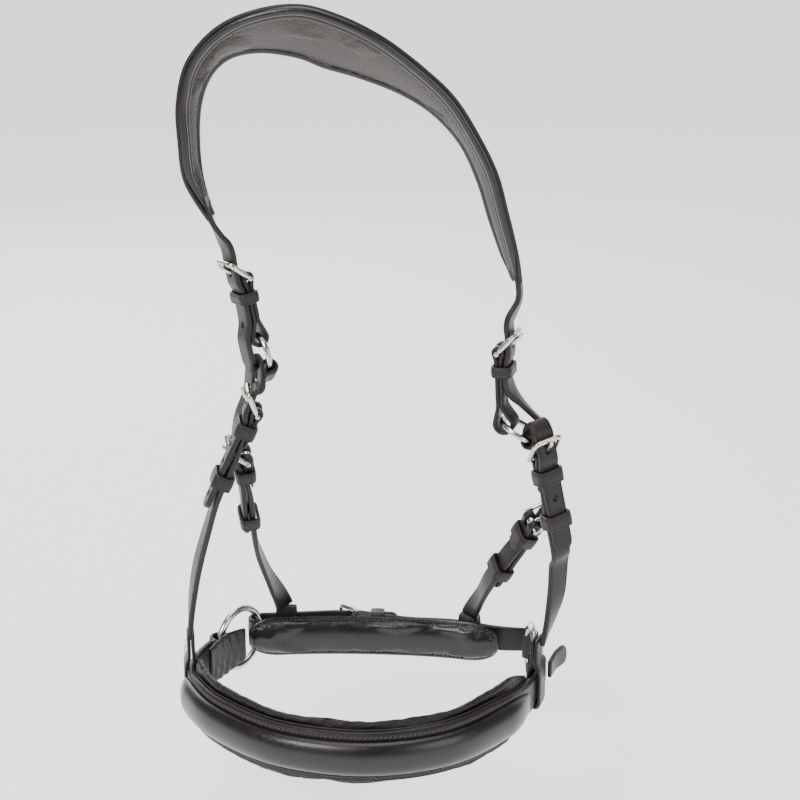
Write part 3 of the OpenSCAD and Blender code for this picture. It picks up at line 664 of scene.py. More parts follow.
class HEADCOLLAR_OT_cheeks(bpy.types.Operator):
    """Make the cheek billets and their doubled tabs"""
    bl_idname = "headcollar.cheeks"
    bl_label = "Cheek Straps"

    def execute(self, context):
        m = finishes()
        for key, low, off, eye, more in (("left_cheek", 32.1, 0.0, 2.95, (-12, -24, -36)), ("right_cheek", 38.7, 1.6, 3.7, (-11,))):
            heel, b = HEELS[key]
            made = strap(cheek_rows(key), tip=5.5, holes=holes_of(key, (3.4, *more)), grooves=(4.75,), edge=0.8)
            add_bands(f"{key}_billet_strap", [made], m["strap"], "strap_leather", "headpiece", [f"{key}_billet"])
            body = belt(heel, b, tab_path(low, off, eye + TAB / 2, TAB / 2, 2.4, -3.6), 6, TAB - 0.05, grooves=(4.75,), edge=0.7, step=0.8)
            add_bands(f"{key}_tab_strap", [body] + heel_loops(key, 6, TAB / 2, FOLD + TAB / 2, TAB - 0.1),
                      m["strap"], "strap_leather", "headpiece", [f"{key}_tab"])
            rows = side_stitches(key, 6, -5.5, -14, TAB + 0.02) + side_stitches(key, 6, -5.5, -24, -TAB - 0.02)
            rows += side_stitches(key, 6, -low + 9, -low + 18, TAB + 0.05)
            add_threads(f"{key}_tab_stitching", rows, m["thread"], "strap_leather", "headpiece")
        return {"FINISHED"}


# ---- hangers ----
def ring_wrap(c, rb, a, toward, near):
    """Sections of a billet's end: up its back, round the ring wire and out to the front, as a half
    circle about the wire's tangent. toward is where it leads, near the outward side there."""
    radial = -math.cos(a) * rb[1] + math.sin(a) * rb[0]
    axis = math.cos(a) * rb[0] + math.sin(a) * rb[1]
    q = c + (CHEEK_R - 0.55) * radial
    go = np.asarray(toward) - q
    go = unit(go - (go @ axis) * axis)
    n = np.cross(axis, go)
    n = n if n @ np.asarray(near) > 0 else -n
    r = EYE + 0.95
    rows = [row(q + 6.6 * go - 0.2 * n, -n, 4.9, 1.1)]
    for deg in (-150, -120, -80, -40, 0, 40, 80, 115):
        d = math.sin(math.radians(deg)) * n - math.cos(math.radians(deg)) * go
        rows.append(row(q + r * d, d, 4.9, 1.8))
    return rows


HOOKS = {
    "left_front": (LEFT_RING, LEFT_RING_B, 40, [row([-21.3, -7, -173.5], [-0.9, -0.3, 0.3], 5.6, 2.6)], 11, (-22, -32, -52)),
    "left_rear": (LEFT_RING, LEFT_RING_B, -40, [row([-29, 10, -184.5], [-0.9, -0.4, -0.1], 5.6, 2.8),
                                                row([-35, 13, -199.5], [-0.95, -0.3, 0], 5.75, 2.8)], 11, (-22,)),
    "right_front": (RIGHT_RING, RIGHT_RING_B, 38, [row(at(*HEELS["right_front"], -1.4, 14.5, -2), -HEELS["right_front"][1][2], 5.3, 2.4),
                                                   row(at(*HEELS["right_front"], 0, 18.5, 1.2), HEELS["right_front"][1][1], 5.7, 2.5),
                                                   row(at(*HEELS["right_front"], 0, 14.5, 4.9), HEELS["right_front"][1][2], 5.75, 2.7)], 9, (-23,)),
    "right_rear": (RIGHT_RING, RIGHT_RING_B, -40, [row([121, 11, -220], [0.95, 0.1, 0], 5.7, 2.8),
                                                   row([125.5, 19, -238], [0.9, 0.3, 0], 5.75, 2.8)], 11, (-22,)),
}
LOWER = {
    "left_front": ([(-30, 0), (-52, 0)], [row([-52, -1, -256], [-0.95, -0.25, 0.2], 5.75, 3), row([-58.5, 4, -280], [-0.95, -0.3, 0.1], 5.75, 3),
                   row([-62.5, 9, -303], [-0.97, -0.2, 0], 5.75, 3), row([-64.2, 11, -323], [-1, 0, 0], 5.6, 3)],
                   [-64.2, 11, NOSE_Z], [-0.99, -0.14, 0], 19, 4.2, 29),
    "left_rear": ([(-30, 0), (-58, 0)], [row([-29.5, 52, -290], [-0.96, 0.05, -0.3], 5.75, 2.8), row([-24.5, 66, -312], [-0.95, 0.2, -0.25], 5.75, 2.8),
                  row([-19.5, 78, -329], [-0.8, 0.6, 0], 5.6, 2.8), row([-17, 82, -337.5], [-0.35, 0.93, 0], 5.4, 2.6)],
                  [-16, 82.4, NOSE_Z], [0.06, 1, 0], 16, 3.6, 12),
    "right_front": ([(-30, 0), (-54, 0)], [row([134, -4, -274], [0.5, -0.85, 0], 5.75, 3), row([133.5, -1, -292], [0.6, -0.8, 0], 5.75, 3),
                    row([131, 1, -308], [0.85, -0.5, 0], 5.75, 3), row([127.5, 3, -323], [0.96, -0.2, 0], 5.6, 3)],
                    [123.9, 3, NOSE_Z], [0.95, -0.31, 0], 19, 4.2, 29),
    "right_rear": ([(-30, 0), (-51, 0)], [row([95.5, 57, -320], [0.93, 0.3, -0.2], 5.75, 2.8), row([91, 67, -334], [0.7, 0.7, 0], 5.5, 2.8), row([90.2, 69.5, -338], [0.5, 0.86, 0], 5.4, 2.6)],
                   [90, 70, NOSE_Z], [0.33, 0.94, 0], 16, 3.6, 12),
}


def foot_loop(foot, out, h, t, peak, wall=1.9):
    """Closed teardrop loop of a hanger round the strap it holds: two sides that lean together into
    a point above, and a rounded turn below."""
    out = unit(out)
    b = np.array([np.cross(out, [0, 0, 1.0]), [0, 0, 1.0], out])
    x, low = t / 2 + wall / 2 + 0.1, -h / 2 - wall / 2
    rise = peak - h / 2
    side = [(-h / 2 + 2.5, x), (0, x), (h / 2 - 2, x), (h / 2 + min(3.0, rise * 0.4), x * 0.7),
            (h / 2 + min(6.5, rise * 0.8), 1.25), (peak, 1.15)]
    path = [(l, -n) for l, n in side[::-1]] + [(low + 0.5, -x * 0.8), (low, 0), (low + 0.5, x * 0.8)] + side
    return belt(foot, b, path[::-1], 6.0, wall, grooves=(4.8,), edge=0.6, step=0.8)


class HEADCOLLAR_OT_hangers(bpy.types.Operator):
    """Make the four hanger straps with their billets"""
    bl_idname = "headcollar.hangers"
    bl_label = "Hanger Straps"

    def execute(self, context):
        m = finishes()
        for key, (c, rb, deg, mid, top, more) in HOOKS.items():
            heel, b = HEELS[key]
            tail = TAILS[key][0]
            rows = ring_wrap(c, rb, math.radians(deg), mid[0][:3], mid[0][3:6]) + mid
            rows += [row(at(heel, b, 0, l, lie(l)), b[2], 5.75, BILLET) for l in (top, top / 2, -2, -6.5, -tail * 0.3, -tail * 0.6, -tail * 0.85, -tail)]
            made = strap(rows, tip=6.0, holes=holes_of(key, (3.4, *more)), grooves=(4.55,), edge=0.8)
            add_bands(f"{key}_billet_strap", [made], m["strap"], "strap_leather", "nosepiece", [f"{key}_billet"])
            spots, low, foot, out, h, t, peak = LOWER[key]
            rows = [row(at(heel, b, 0, l, n), b[2], 5.75, th) for l, n, th in ((-3.6, 1.05, 2.05), (-9, 1.05, 2.1), (-17, 0.9, 2.3))]
            rows += [row(at(heel, b, 0, l, n), b[2], 5.75, 3) for l, n in spots] + low
            lower = strap(rows, holes=(), grooves=(4.55,), edge=0.8)
            back = strap([row(at(heel, b, 0, l, n), -b[2], 5.7, th) for l, n, th in ((-3.6, -1.05, 2.05), (-9, -1.05, 2.1), (-16, -1.2, 1.5), (-21, -1.6, 0.8))],
                         tip=3, grooves=(4.55,), edge=0.6)
            add_bands(f"{key}_lower_strap", [lower, back, foot_loop(foot, out, h, t, peak)] + heel_loops(key, 5.75, TAB / 2, FOLD + TAB / 2, TAB - 0.1),
                      m["strap"], "strap_leather", "nosepiece", [f"{key}_hanger"])
            threads = side_stitches(key, 5.75, -5.2, -19, -TAB - 0.1, 1.7)
            f = strap_frame([0, 0, 1], unit(out))
            for s in (-1, 1):
                z = np.linspace(h / 2 + 1, max(peak - 4, h / 2 + 3.5), 5)
                x = np.interp(z, [h / 2, peak], [t / 2 + 2.1, 2.1])
                C = np.asarray(foot) + s * 4.0 * f[0] + z[:, None] * np.array([0, 0, 1.0]) + x[:, None] * f[2]
                threads.append(stitch_row(C, np.tile(f[0], (5, 1)), np.tile(f[2], (5, 1)), 2.5, 1.8, 0.27))
            add_threads(f"{key}_stitching", threads, m["thread"], "strap_leather", "nosepiece")
        return {"FINISHED"}


# ---- padded work ----
def plump(obj, pinned, pressure, cap, frames=18):
    """Swells a closed mesh by cloth simulation: pinned points stay, the rest move out under
    pressure, and no point moves more than cap millimetres. The result replaces the mesh points."""
    group = obj.vertex_groups.new(name="seam")
    group.add([int(i) for i in np.flatnonzero(pinned)], 1.0, "REPLACE")
    cloth = obj.modifiers.new("fill", "CLOTH")
    s = cloth.settings
    s.use_pressure, s.uniform_pressure_force = True, pressure
    s.vertex_group_mass = "seam"
    s.effector_weights.gravity = 0
    s.quality, s.mass = 6, 0.25
    s.tension_stiffness, s.compression_stiffness, s.bending_stiffness = 18, 12, 0.6
    s.shrink_min = -0.035
    cloth.collision_settings.use_collision = False
    scene = bpy.context.scene
    for f in range(1, frames + 1):
        scene.frame_set(f)
    n = len(obj.data.vertices)
    start, end = np.empty(n * 3), np.empty(n * 3)
    obj.data.vertices.foreach_get("co", start)
    soft = obj.evaluated_get(bpy.context.evaluated_depsgraph_get()).to_mesh()
    soft.vertices.foreach_get("co", end)
    move = (end - start).reshape(-1, 3)
    size = np.linalg.norm(move, axis=1, keepdims=True)
    move *= np.minimum(1, cap * MM / np.maximum(size, 1e-9))
    obj.modifiers.remove(cloth)
    obj.vertex_groups.remove(group)
    obj.data.vertices.foreach_set("co", (start.reshape(-1, 3) + move).reshape(-1))
    obj.data.update()
    scene.frame_set(1)


NOSE_PLAN = np.array([[-55.8, 47.5], [-63.5, 28], [-66, 8], [-61, -14], [-45, -40], [-12, -67], [32, -77.5],
                      [74, -67], [105, -38], [120, -12], [127, 8], [128.6, 20]], float)


def plan_curve(points, lo, hi, count, z=NOSE_Z):
    """Points, ways along and outward directions of a flat curve through the given plan points,
    between two of its parameters. Outward is the way along turned a quarter to the right."""
    s = np.linspace(lo, hi, count)
    p = curve_at(np.asarray(points, float), s)
    t = unit(curve_at(np.asarray(points, float), np.clip(s + 0.01, 0, len(points) - 1)) - curve_at(np.asarray(points, float), np.clip(s - 0.01, 0, len(points) - 1)))
    C = np.column_stack([p, np.full(count, z)])
    T = np.column_stack([t, np.zeros(count)])
    return s, C, T, np.column_stack([t[:, 1], -t[:, 0], np.zeros(count)])


def both(s, lo, hi, a):
    """Rises from 0 to 1 over a at each end of the range lo to hi."""
    return smooth((s - lo) / a) * smooth((hi - s) / a)


UP = np.array([0, 0, 1.0])


class HEADCOLLAR_OT_noseband(bpy.types.Operator):
    """Make the noseband: strap, raised pad, soft lining and stitching"""
    bl_idname = "headcollar.noseband"
    bl_label = "Noseband"

    def execute(self, context):
        m = finishes()
        # Outer strap, with both ends turned back round the side rings.
        s, C, T, N = plan_curve(NOSE_PLAN, 0.1, 10.9, 330)
        half = 9 + 5 * both(s, 1.9, 9.1, 1.5)
        r = 4 + TAB / 2

        def end_loop(eye, start, sense):
            """Half circle of the strap round a ring's wire, from its outer side to its inner side."""
            a0 = math.atan2(start[1] - eye[1], start[0] - eye[0])
            a = a0 + sense * np.radians(np.arange(0, 200, 12.0))
            d = np.column_stack([np.cos(a), np.sin(a), np.zeros(len(a))])
            return eye + r * d, d
        left, left_n = end_loop(EYES["left_front"], C[0], -1)
        right, right_n = end_loop(EYES["right_front"], C[-1], 1)
        C2 = np.vstack([left[:0:-1], C - 1.75 * N, right[1:]])
        N2 = np.vstack([left_n[:0:-1], N, right_n[1:]])
        h2 = np.concatenate([np.full(len(left) - 1, 7.6), np.interp(s, [0.1, 0.6, 10.4, 10.9], [7.8, 9, 9, 7.8]) * 0 + np.minimum(half, 7.6 + 14 * smooth(np.minimum(s - 0.1, 10.9 - s) / 1.2)), np.full(len(right) - 1, 7.6)])
        t2 = np.concatenate([np.full(len(left) - 1, 2.1), np.full(len(s), 3.4), np.full(len(right) - 1, 2.1)])
        add_bands("noseband_outer_strap", [band(C2, N2, h2, t2, grooves=(12.9,), depth=0.35, edge=1.1, swell=0.1)],
                  m["strap"], "strap_leather", "nosepiece", ["noseband_strap"])
        # Raised pad: half ellipse across, thinning to its ends, with shallow folds near them.
        lo, hi = 2.15, 8.85
        s, C, T, N = plan_curve(NOSE_PLAN, lo, hi, 380)
        g = np.sqrt(np.clip(both(s, lo - 0.12, hi + 0.12, 1.0), 0, 1))
        a = np.linspace(0, math.pi, 41)
        h = 9.5 * (0.42 + 0.58 * g)
        o = 0.7 + 5.4 * g
        lift = np.sin(a)[None] ** 0.85
        fold = 0.13 * np.sin(s[:, None] * 37 + 2 * np.cos(a)[None]) * (1 - g)[:, None] * lift
        P = C[:, None] + (0.05 + o[:, None] * lift + fold)[..., None] * N[:, None] + (h[:, None] * np.cos(a)[None])[..., None] * UP
        pad = put("noseband_raised_pad", P.reshape(-1, 3), skin(P), m["glossy"], "padded_leather", "nosepiece", ["noseband_pad"])
        # Lining: a soft oval roll behind the strap, swelling between stitched ends.
        lo, hi = 1.8, 9.2
        s, C, T, N = plan_curve(NOSE_PLAN, lo, hi, 260)
        g = both(s, lo - 0.35, hi + 0.35, 1.3)
        a = np.linspace(0, 2 * math.pi, 56, endpoint=False)
        h = 9 + (18.2 - 9) * g
        d = 3 + 4.3 * g
        wobble = 1 + 0.004 * np.sin(s[:, None] * 17 + 2 * np.sin(a)[None]) + 0.003 * np.sin(s[:, None] * 31 - a[None])
        side = np.sign(np.cos(a)) * np.abs(np.cos(a)) ** 0.8
        P = (C[:, None] - (3.6 + d[:, None] / 2 - d[:, None] / 2 * side[None])[..., None] * N[:, None]
             + (h[:, None] * wobble * np.sin(a)[None])[..., None] * UP)
        lining = put("noseband_soft_lining", P.reshape(-1, 3), skin(P), m["soft"], "soft_leather", "nosepiece", ["noseband_lining"])
        pinned = np.broadcast_to((np.cos(a) > 0.6)[None] | ((s < lo + 0.12) | (s > hi - 0.12))[:, None], P.shape[:2]).reshape(-1)
        plump(lining, pinned, 5.0, 1.4)
        # Stitching above and below the pad, and a fine line along the strap's upper edge.
        rows = []
        for z, tilt in ((11.1, 0.5), (-11.1, -0.5)):
            s, C, T, N = plan_curve(NOSE_PLAN, 2.4, 8.6, 300)
            rows.append(stitch_row(C + z * UP + 0.12 * N, np.tile(UP, (300, 1)), N, 2.55, 2.3, 0.36, tilt))
        add_threads("noseband_stitching", rows, m["thread"], "strap_leather", "nosepiece")
        s, C, T, N = plan_curve(NOSE_PLAN, 1.9, 9.1, 300)
        h = 9 + 5 * both(s, 1.9, 9.1, 1.5)
        line = [rod(C + (h * k)[:, None] * UP - 3.3 * N, 0.26, UP, sides=8) for k in (1.0,)]
        put("noseband_edge_piping", *joined(line), m["seam"], "strap_leather", "nosepiece")
        # Flap outside the right ring.
        flap = strap([row([131.6, 8, NOSE_Z + 7], [0.97, -0.15, 0], 5.2, 2.4), row([135, 17, NOSE_Z + 8], [0.95, -0.3, 0], 5.4, 2.4),
                      row([139.5, 25, NOSE_Z + 8], [0.9, -0.45, 0.1], 5.4, 2.4), row([142, 29.5, NOSE_Z + 7.5], [0.9, -0.45, 0.1], 5.2, 2.4)],
                     tip=5, grooves=(4.4,))
        add_bands("right_end_flap_strap", [flap], m["strap"], "strap_leather", "nosepiece", ["right_end_flap"])
        return {"FINISHED"}


CHIN_PLAN = np.array([[-33, 64.5], [0, 67], [35, 66.5], [70, 63], [101, 56]], float)


def wrap_round(eye, start, r, sense, sweep=205):
    """Centre line and outward directions of a strap end bent round a side ring's wire."""
    a0 = math.atan2(start[1] - eye[1], start[0] - eye[0])
    a = a0 + sense * np.radians(np.arange(0, sweep, 12.0))
    d = np.column_stack([np.cos(a), np.sin(a), np.zeros(len(a))])
    return eye + r * d, d


class HEADCOLLAR_OT_chin(bpy.types.Operator):
    """Make the chin pad, the jaw strap and its billet, and the wrinkled guard"""
    bl_idname = "headcollar.chin"
    bl_label = "Chin Pad and Jaw Strap"

    def execute(self, context):
        m = finishes()
        s, C, T, _ = plan_curve(CHIN_PLAN, 0, 4, 240)
        C = C + (smooth(1 - s / 0.5) * -4)[:, None] * T + (smooth((s - 3.5) / 0.5) * 5)[:, None] * T
        N = np.column_stack([-T[:, 1], T[:, 0], np.zeros(len(s))])
        a = np.linspace(0, 2 * math.pi, 64, endpoint=False)
        g = np.sqrt(np.clip(1 - (1 - both(s, -0.02, 4.02, 0.6)) ** 2, 0, 1))
        h = 12 * (0.3 + 0.7 * g)
        z = h[:, None] * np.cos(a)[None]
        core = np.sqrt(np.clip(1 - (z / (h[:, None] * 0.78)) ** 2, 0, 1))
        thick = 1.3 + 4.2 * g[:, None] * core ** 0.9
        rim = np.clip(1 - (np.abs(z) / h[:, None]) ** 8, 0.0, 1)
        thick = thick - 0.55 * np.exp(-((np.abs(z) / h[:, None] - 0.79) / 0.04) ** 2) * np.minimum(1, g[:, None] * 1.4)
        crease = 0.25 * np.sin(s[:, None] * 23 + z * 0.3) * (1 - g[:, None])
        y = np.sign(np.sin(a))[None] * (thick + crease * core) * rim
        P = C[:, None] - y[..., None] * N[:, None] + z[..., None] * UP
        pad = put("chin_pad_cushion", P.reshape(-1, 3), skin(P), m["glossy"], "soft_leather", "nosepiece", ["chin_pad"])
        flat = (np.abs(z) > h[:, None] * 0.8) | ((s < 0.1) | (s > 3.9))[:, None]
        plump(pad, flat.reshape(-1), 5.0, 1.3)
        rows = []
        for sign in (-1, 1):
            for face in (-1, 1):
                hh = 12 * (0.3 + 0.7 * g)
                L = C + (sign * hh * 0.88)[:, None] * UP + face * 1.3 * N
                rows.append(stitch_row(L[6:-6], np.tile(UP, (228, 1)), face * N[6:-6], 2.4, 1.8, 0.28, 0.3 * sign))
        add_threads("chin_pad_stitching", rows, m["thread"], "soft_leather", "nosepiece")
        # Jaw strap: heel fold at the buckle, run to the right ring and back round its wire.
        heel, b = HEELS["jaw"]
        half = JAW_W / 2
        jaw = lambda x, y, dz, hw=7.5: row([x, y, NOSE_Z + dz], [0.02, 1, 0], hw, 2.8)
        rr, rl = EYES["right_rear"], EYES["left_rear"]
        rows = [row(at(heel, b, 0, l, n), b[2], half, t) for l, n, t in ((-3.6, 1.05, 2.05), (-9, 1.05, 2.1), (-16, 0.6, 2.6))]
        rows += [jaw(56, 78, -1), jaw(82, 72.5, 0), jaw(106, 63.5, 0)]
        turn, out = wrap_round(rr, rr + np.array([1.5, 5.0, 0]), 5.05, -1)
        rows += [row(p, d, 7.1, 2.0) for p, d in zip(turn, out)]
        main = strap(rows, grooves=(6.3,), edge=0.8)
        back = strap([row(at(heel, b, 0, l, n), -b[2], half - 0.1, t) for l, n, t in ((-3.6, -1.05, 2.05), (-9, -1.05, 2.1), (-16, -1.2, 1.6), (-22, -1.5, 0.8))], tip=3, grooves=(6.3,), edge=0.6)
        add_bands("jaw_strap_leather", [main, back] + heel_loops("jaw", half, TAB / 2, FOLD + TAB / 2, TAB - 0.1),
                  m["strap"], "strap_leather", "nosepiece", ["jaw_strap"])
        turn, out = wrap_round(rl, rl + np.array([-0.5, 5.0, 0]), 5.05, 1)
        rows = [row(p, d, 7.1, 2.0) for p, d in zip(turn[::-1], out[::-1])]
        rows += [jaw(-16, 82.5, 0)] + [row(at(heel, b, 0, l, lie(l)), b[2], half, BILLET) for l in (16, 6, -2, -6.5, -14, -25)]
        billet = strap(rows, tip=6, holes=holes_of("jaw", (3.4, -17)), grooves=(6.3,), edge=0.8)
        add_bands("jaw_billet_leather", [billet], m["strap"], "strap_leather", "nosepiece", ["jaw_billet"])
        # Guard: soft leather gathered in folds across its length.
        got, arc = resample([row([-55.4, 26, NOSE_Z], [-0.94, -0.35, 0], 11, 2.2), row([-48, 43, NOSE_Z], [-0.9, -0.45, 0], 12, 2.2),
                             row([-38.5, 57, NOSE_Z], [-0.8, -0.6, 0], 9.5, 2.2)], 0.35)
        v, f, hole_shade = band(got[:, :3], got[:, 3:6], got[:, 6], got[:, 7], edge=0.9, swell=0.4)
        k = v.shape[1]
        n = got[:, 3:6][:, None]
        wave = 0.5 * np.sin(arc[:, None] * 0.9 + 1.9 * np.sin(v[..., 2] * 0.22)) + 0.25 * np.sin(arc[:, None] * 1.7 + v[..., 2] * 0.4)
        v = v + wave[..., None] * n * smooth(np.minimum(arc, arc[-1] - arc) / 3)[:, None, None]
        put("left_ring_guard_leather", v.reshape(-1, 3), f, m["soft"], "soft_leather", "nosepiece", ["left_ring_guard"], hole_shade)
        return {"FINISHED"}


CROWN_NEAR = np.array([[-47, -6, -87], [-57, -11, -66], [-59, -13, -45], [-59, -13, -26], [-53, -14, -6],
                       [-38, -17, 10], [-19, -21, 19], [3, -23, 22], [24, -23, 16], [43, -22, 6], [62, -18, -9],
                       [77, -15, -24], [89, -13, -43], [98, -13, -61], [104, -12, -82], [109, -10, -102], [112, -7, -119]], float)
CROWN_FAR = np.array([[-41.5, 6, -88.5], [-50, 11, -70], [-52, 13, -50], [-50, 13, -31], [-44, 14, -17],
                      [-34, 17, -9], [-19, 21, -7], [-1, 23, -10], [12, 23, -15], [30, 22, -20], [50, 18, -27],
                      [67, 15, -37], [81, 13, -52], [90, 13, -71], [96, 12, -90], [102, 10, -108], [107, 7, -123]], float)


def crown_grid(lo, hi, count):
    """Near edge, way across, outward direction and width of the crown between two parameters."""
    s = np.linspace(lo, hi, count)
    near, far = curve_at(CROWN_NEAR, s), curve_at(CROWN_FAR, s)
    mid = (near + far) / 2
    t = unit(np.gradient(mid, axis=0))
    n = unit(np.cross(t, far - near))
    near, far = near - NEAR_SET * n, far + FAR_SET * n
    w = unit(far - near)
    return s, near, w, unit(np.cross(t, w)), np.linalg.norm(far - near, axis=1)


class HEADCOLLAR_OT_crown(bpy.types.Operator):
    """Make the crown: outer leather, rolled edges, padded underside and seams"""
    bl_idname = "headcollar.crown"
    bl_label = "Crown"

    def execute(self, context):
        m = finishes()
        s, near, w, n, width = crown_grid(0, 16, 420)
        end = np.sqrt(np.clip(1 - (1 - np.clip(np.minimum(s, 16 - s) / 0.9, 0, 1)) ** 2, 0.12, 1))
        outer = band(near + (width / 2)[:, None] * w + 1.0 * n, n, (width / 2 - 0.5) * (0.7 + 0.3 * end), 2.0,
                     grooves=(), edge=0.9, swell=0.35)
        add_bands("crown_outer_leather", [outer], m["strap"], "strap_leather", "headpiece", ["crown_strap"])

        lo, hi = 0.12, 15.88
        s, near, w, n, width = crown_grid(lo, hi, 460)
        close = np.sqrt(np.clip(both(s, lo - 0.02, hi + 0.02, 1.0), 0, 1))
        f = np.minimum(1, width / 26)
        mid = near + (width / 2)[:, None] * w
        half = (width / 2 - 0.9) * (0.6 + 0.4 * close)
        th = np.linspace(0, 2 * math.pi, 28, endpoint=False)

        def roll(edge_gap, r_side, r_deep, sign, name, mat, slot, nodes=()):
            """A soft roll beside the panel: an ellipse carried along, its centre edge_gap in from the rim."""
            x = sign * (half - edge_gap * f)
            r_s, r_d = r_side * f * (0.45 + 0.55 * close), r_deep * f * (0.45 + 0.55 * close)
            c = mid + x[:, None] * w - (0.5 * r_d)[:, None] * n
            P = (c[:, None] + r_s[:, None, None] * np.cos(th)[None, :, None] * w[:, None]
                 + r_d[:, None, None] * np.sin(th)[None, :, None] * n[:, None])
            return put(name, P.reshape(-1, 3), skin(P), mat, slot, "headpiece", nodes)
        roll(1.3, 2.3, 2.3, -1, "crown_near_outer_roll", m["glossy"], "padded_leather")
        roll(4.9, 1.85, 2.4, -1, "crown_near_inner_roll", m["glossy"], "padded_leather")
        roll(1.4, 2.3, 2.2, 1, "crown_far_roll", m["glossy"], "padded_leather")
        # Panel: a crowned cushion between the rolls, thickest along its middle.
        x0, x1 = -half + 6.2 * f, half - 2.9 * f
        k = 72
        a = np.linspace(0, math.pi, k)
        u = (1 - np.cos(a)) / 2
        x = x0[:, None] + (x1 - x0)[:, None] * u[None]
        rise = (1.3 + 2.4 * np.sqrt(np.clip(1 - (2 * u - 1) ** 2, 0, 1)) ** 0.9)[None] * (0.4 + 0.6 * close * f)[:, None]
        under = mid[:, None] + x[..., None] * w[:, None] - (rise + 0.3)[..., None] * n[:, None]
        back = mid[:, None] + x[..., None][:, ::-1][:, 1:-1] * w[:, None] - 0.2 * n[:, None]
        P = np.concatenate([under, back], 1)
        panel = put("crown_padded_panel", P.reshape(-1, 3), skin(P), m["lining"], "crown_lining", "headpiece", ["crown_padding"])
        pinned = np.zeros(P.shape[:2], bool)
        pinned[:, :5], pinned[:, k - 5:] = True, True
        pinned[:3], pinned[-3:] = True, True
        plump(panel, pinned.reshape(-1), 4.0, 0.9)
        # Seam thread in the groove between the two near rolls.
        x = -(half - 3.25 * f)
        line = mid + x[:, None] * w - (2.2 * f * (0.45 + 0.55 * close))[:, None] * n
        add_threads("crown_seam_thread", [stitch_row(line[8:-8], w[8:-8], -n[8:-8], 2.2, 1.9, 0.3)], m["seam"], "crown_lining", "headpiece")
        return {"FINISHED"}


class HEADCOLLAR_OT_stage(bpy.types.Operator):
    """Make the pale floor, soft lights and camera"""
    bl_idname = "headcollar.stage"
    bl_label = "Stage"

    def execute(self, context):
        scene = context.scene
        u, v = np.meshgrid(np.linspace(-3, 3, 3), np.linspace(0, 1, 40), indexing="ij")
        y = np.where(v < 0.6, -3 + v / 0.6 * 5, 2 + 0.8 * np.sin((v - 0.6) / 0.4 * math.pi / 2))
        z = np.where(v < 0.6, 0, 0.8 * (1 - np.cos((v - 0.6) / 0.4 * math.pi / 2)) * 3)
        P = np.stack([u, y, z - 0.43], -1)
        i, j = np.meshgrid(np.arange(2), np.arange(39), indexing="ij")
        q = np.stack([i * 40 + j, (i + 1) * 40 + j, (i + 1) * 40 + j + 1, i * 40 + j + 1], -1).reshape(-1, 4)
        mesh = bpy.data.meshes.new("floor")
        mesh.from_pydata(P.reshape(-1, 3).tolist(), [], q.tolist())
        pale = plain("pale floor", (0.9, 0.9, 0.9), 0.8)
        glow = pale.node_tree.nodes["Principled BSDF"]
        glow.inputs["Emission Color"].default_value = (1, 1, 1, 1)
        glow.inputs["Emission Strength"].default_value = 0.85
        mesh.materials.append(pale)
        mesh.shade_smooth()
        floor = bpy.data.objects.new("floor", mesh)
        scene.collection.objects.link(floor)
        for name, place, look, size, power, colour in (
                ("key", (-0.75, -1.0, 0.75), (0.03, 0, -0.2), 0.7, 21, (1, 0.98, 0.96)),
                ("fill", (1.1, -0.9, 0.25), (0.05, 0, -0.25), 0.9, 8, (0.97, 0.98, 1)),
                ("top", (0.05, 0.1, 1.15), (0.05, 0, -0.2), 1.2, 15, (1, 1, 1)),
                ("back", (-0.4, 1.2, 0.4), (0.03, 0, -0.2), 0.9, 8, (1, 1, 1))):
            light = bpy.data.lights.new(name, "AREA")
            light.shape, light.size, light.energy, light.color = "DISK", size, power, colour
            obj = bpy.data.objects.new(name, light)
            scene.collection.objects.link(obj)
            p, q = np.array(place), np.array(look)
            d = q - p
            obj.location = place
            obj.rotation_euler = (math.atan2(math.hypot(d[0], d[1]), -d[2]), 0, math.atan2(d[1], d[0]) - math.pi / 2)
        world = bpy.data.worlds.new("studio")
        world.use_nodes = True
        world.node_tree.nodes["Background"].inputs["Color"].default_value = (1, 1, 1, 1)
        world.node_tree.nodes["Background"].inputs["Strength"].default_value = 0.32
        scene.world = world
        cam = bpy.data.cameras.new("camera")
        cam.lens, cam.sensor_width = 89.28, 36
        obj = bpy.data.objects.new("camera", cam)
        scene.collection.objects.link(obj)
        obj.location = (0.050, -0.973, 0.1435)
        obj.rotation_euler = (math.radians(90 - 18.6), 0, 0)
        scene.camera = obj
        return {"FINISHED"}


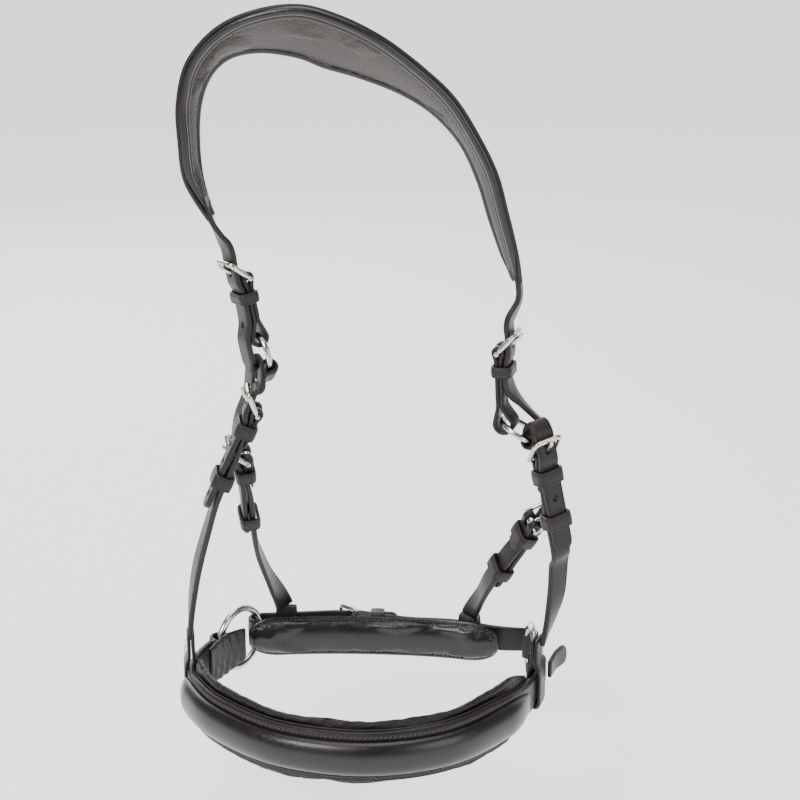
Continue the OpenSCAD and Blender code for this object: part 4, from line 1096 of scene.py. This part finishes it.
class HeadcollarLook(bpy.types.PropertyGroup):
    """Colours and finish of the headcollar"""
    leather_colour: bpy.props.FloatVectorProperty(name="Leather", description="Base colour of the bridle leather", subtype="COLOR", size=3, default=(0.0095, 0.0072, 0.0064), min=0, max=1)
    lining_colour: bpy.props.FloatVectorProperty(name="Crown Lining", description="Colour of the pebbled panel under the crown", subtype="COLOR", size=3, default=(0.03, 0.0235, 0.0205), min=0, max=1)
    thread_colour: bpy.props.FloatVectorProperty(name="Thread", description="Colour of the stitching", subtype="COLOR", size=3, default=(0.055, 0.047, 0.042), min=0, max=1)
    piping_colour: bpy.props.FloatVectorProperty(name="Seam Line", description="Colour of the light seam lines", subtype="COLOR", size=3, default=(0.06, 0.052, 0.047), min=0, max=1)
    metal_colour: bpy.props.FloatVectorProperty(name="Metal", description="Colour of the plating", subtype="COLOR", size=3, default=(0.62, 0.585, 0.545), min=0, max=1)
    leather_roughness: bpy.props.FloatProperty(name="Leather Roughness", description="How dull the leather is", subtype="FACTOR", default=0.39, min=0.2, max=0.9)
    metal_roughness: bpy.props.FloatProperty(name="Metal Roughness", description="How dull the plating is", subtype="FACTOR", default=0.16, min=0.05, max=0.6)


STEPS = (HEADCOLLAR_OT_crown, HEADCOLLAR_OT_cheeks, HEADCOLLAR_OT_hangers, HEADCOLLAR_OT_noseband,
         HEADCOLLAR_OT_chin, HEADCOLLAR_OT_keepers, HEADCOLLAR_OT_metal, HEADCOLLAR_OT_stage)


class HEADCOLLAR_PT_panel(bpy.types.Panel):
    """The headcollar's pieces and look"""
    bl_label = "Headcollar"
    bl_idname = "HEADCOLLAR_PT_panel"
    bl_space_type = "VIEW_3D"
    bl_region_type = "UI"
    bl_category = "Headcollar"

    def draw(self, context):
        look = context.scene.headcollar_look
        for name in ("leather_colour", "lining_colour", "thread_colour", "piping_colour", "metal_colour",
                     "leather_roughness", "metal_roughness"):
            self.layout.prop(look, name)
        for step in STEPS:
            self.layout.operator(step.bl_idname)


CLASSES = (HeadcollarLook, *STEPS, HEADCOLLAR_PT_panel)


def register():
    for c in CLASSES:
        bpy.utils.register_class(c)
    bpy.types.Scene.headcollar_look = bpy.props.PointerProperty(type=HeadcollarLook)


def unregister():
    del bpy.types.Scene.headcollar_look
    for c in reversed(CLASSES):
        bpy.utils.unregister_class(c)


def main():
    register()
    bpy.ops.headcollar.crown()
    bpy.ops.headcollar.cheeks()
    bpy.ops.headcollar.hangers()
    bpy.ops.headcollar.noseband()
    bpy.ops.headcollar.chin()
    bpy.ops.headcollar.keepers()
    bpy.ops.headcollar.metal()
    bpy.ops.headcollar.stage()
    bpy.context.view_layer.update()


if __name__ == "__main__":
    main()
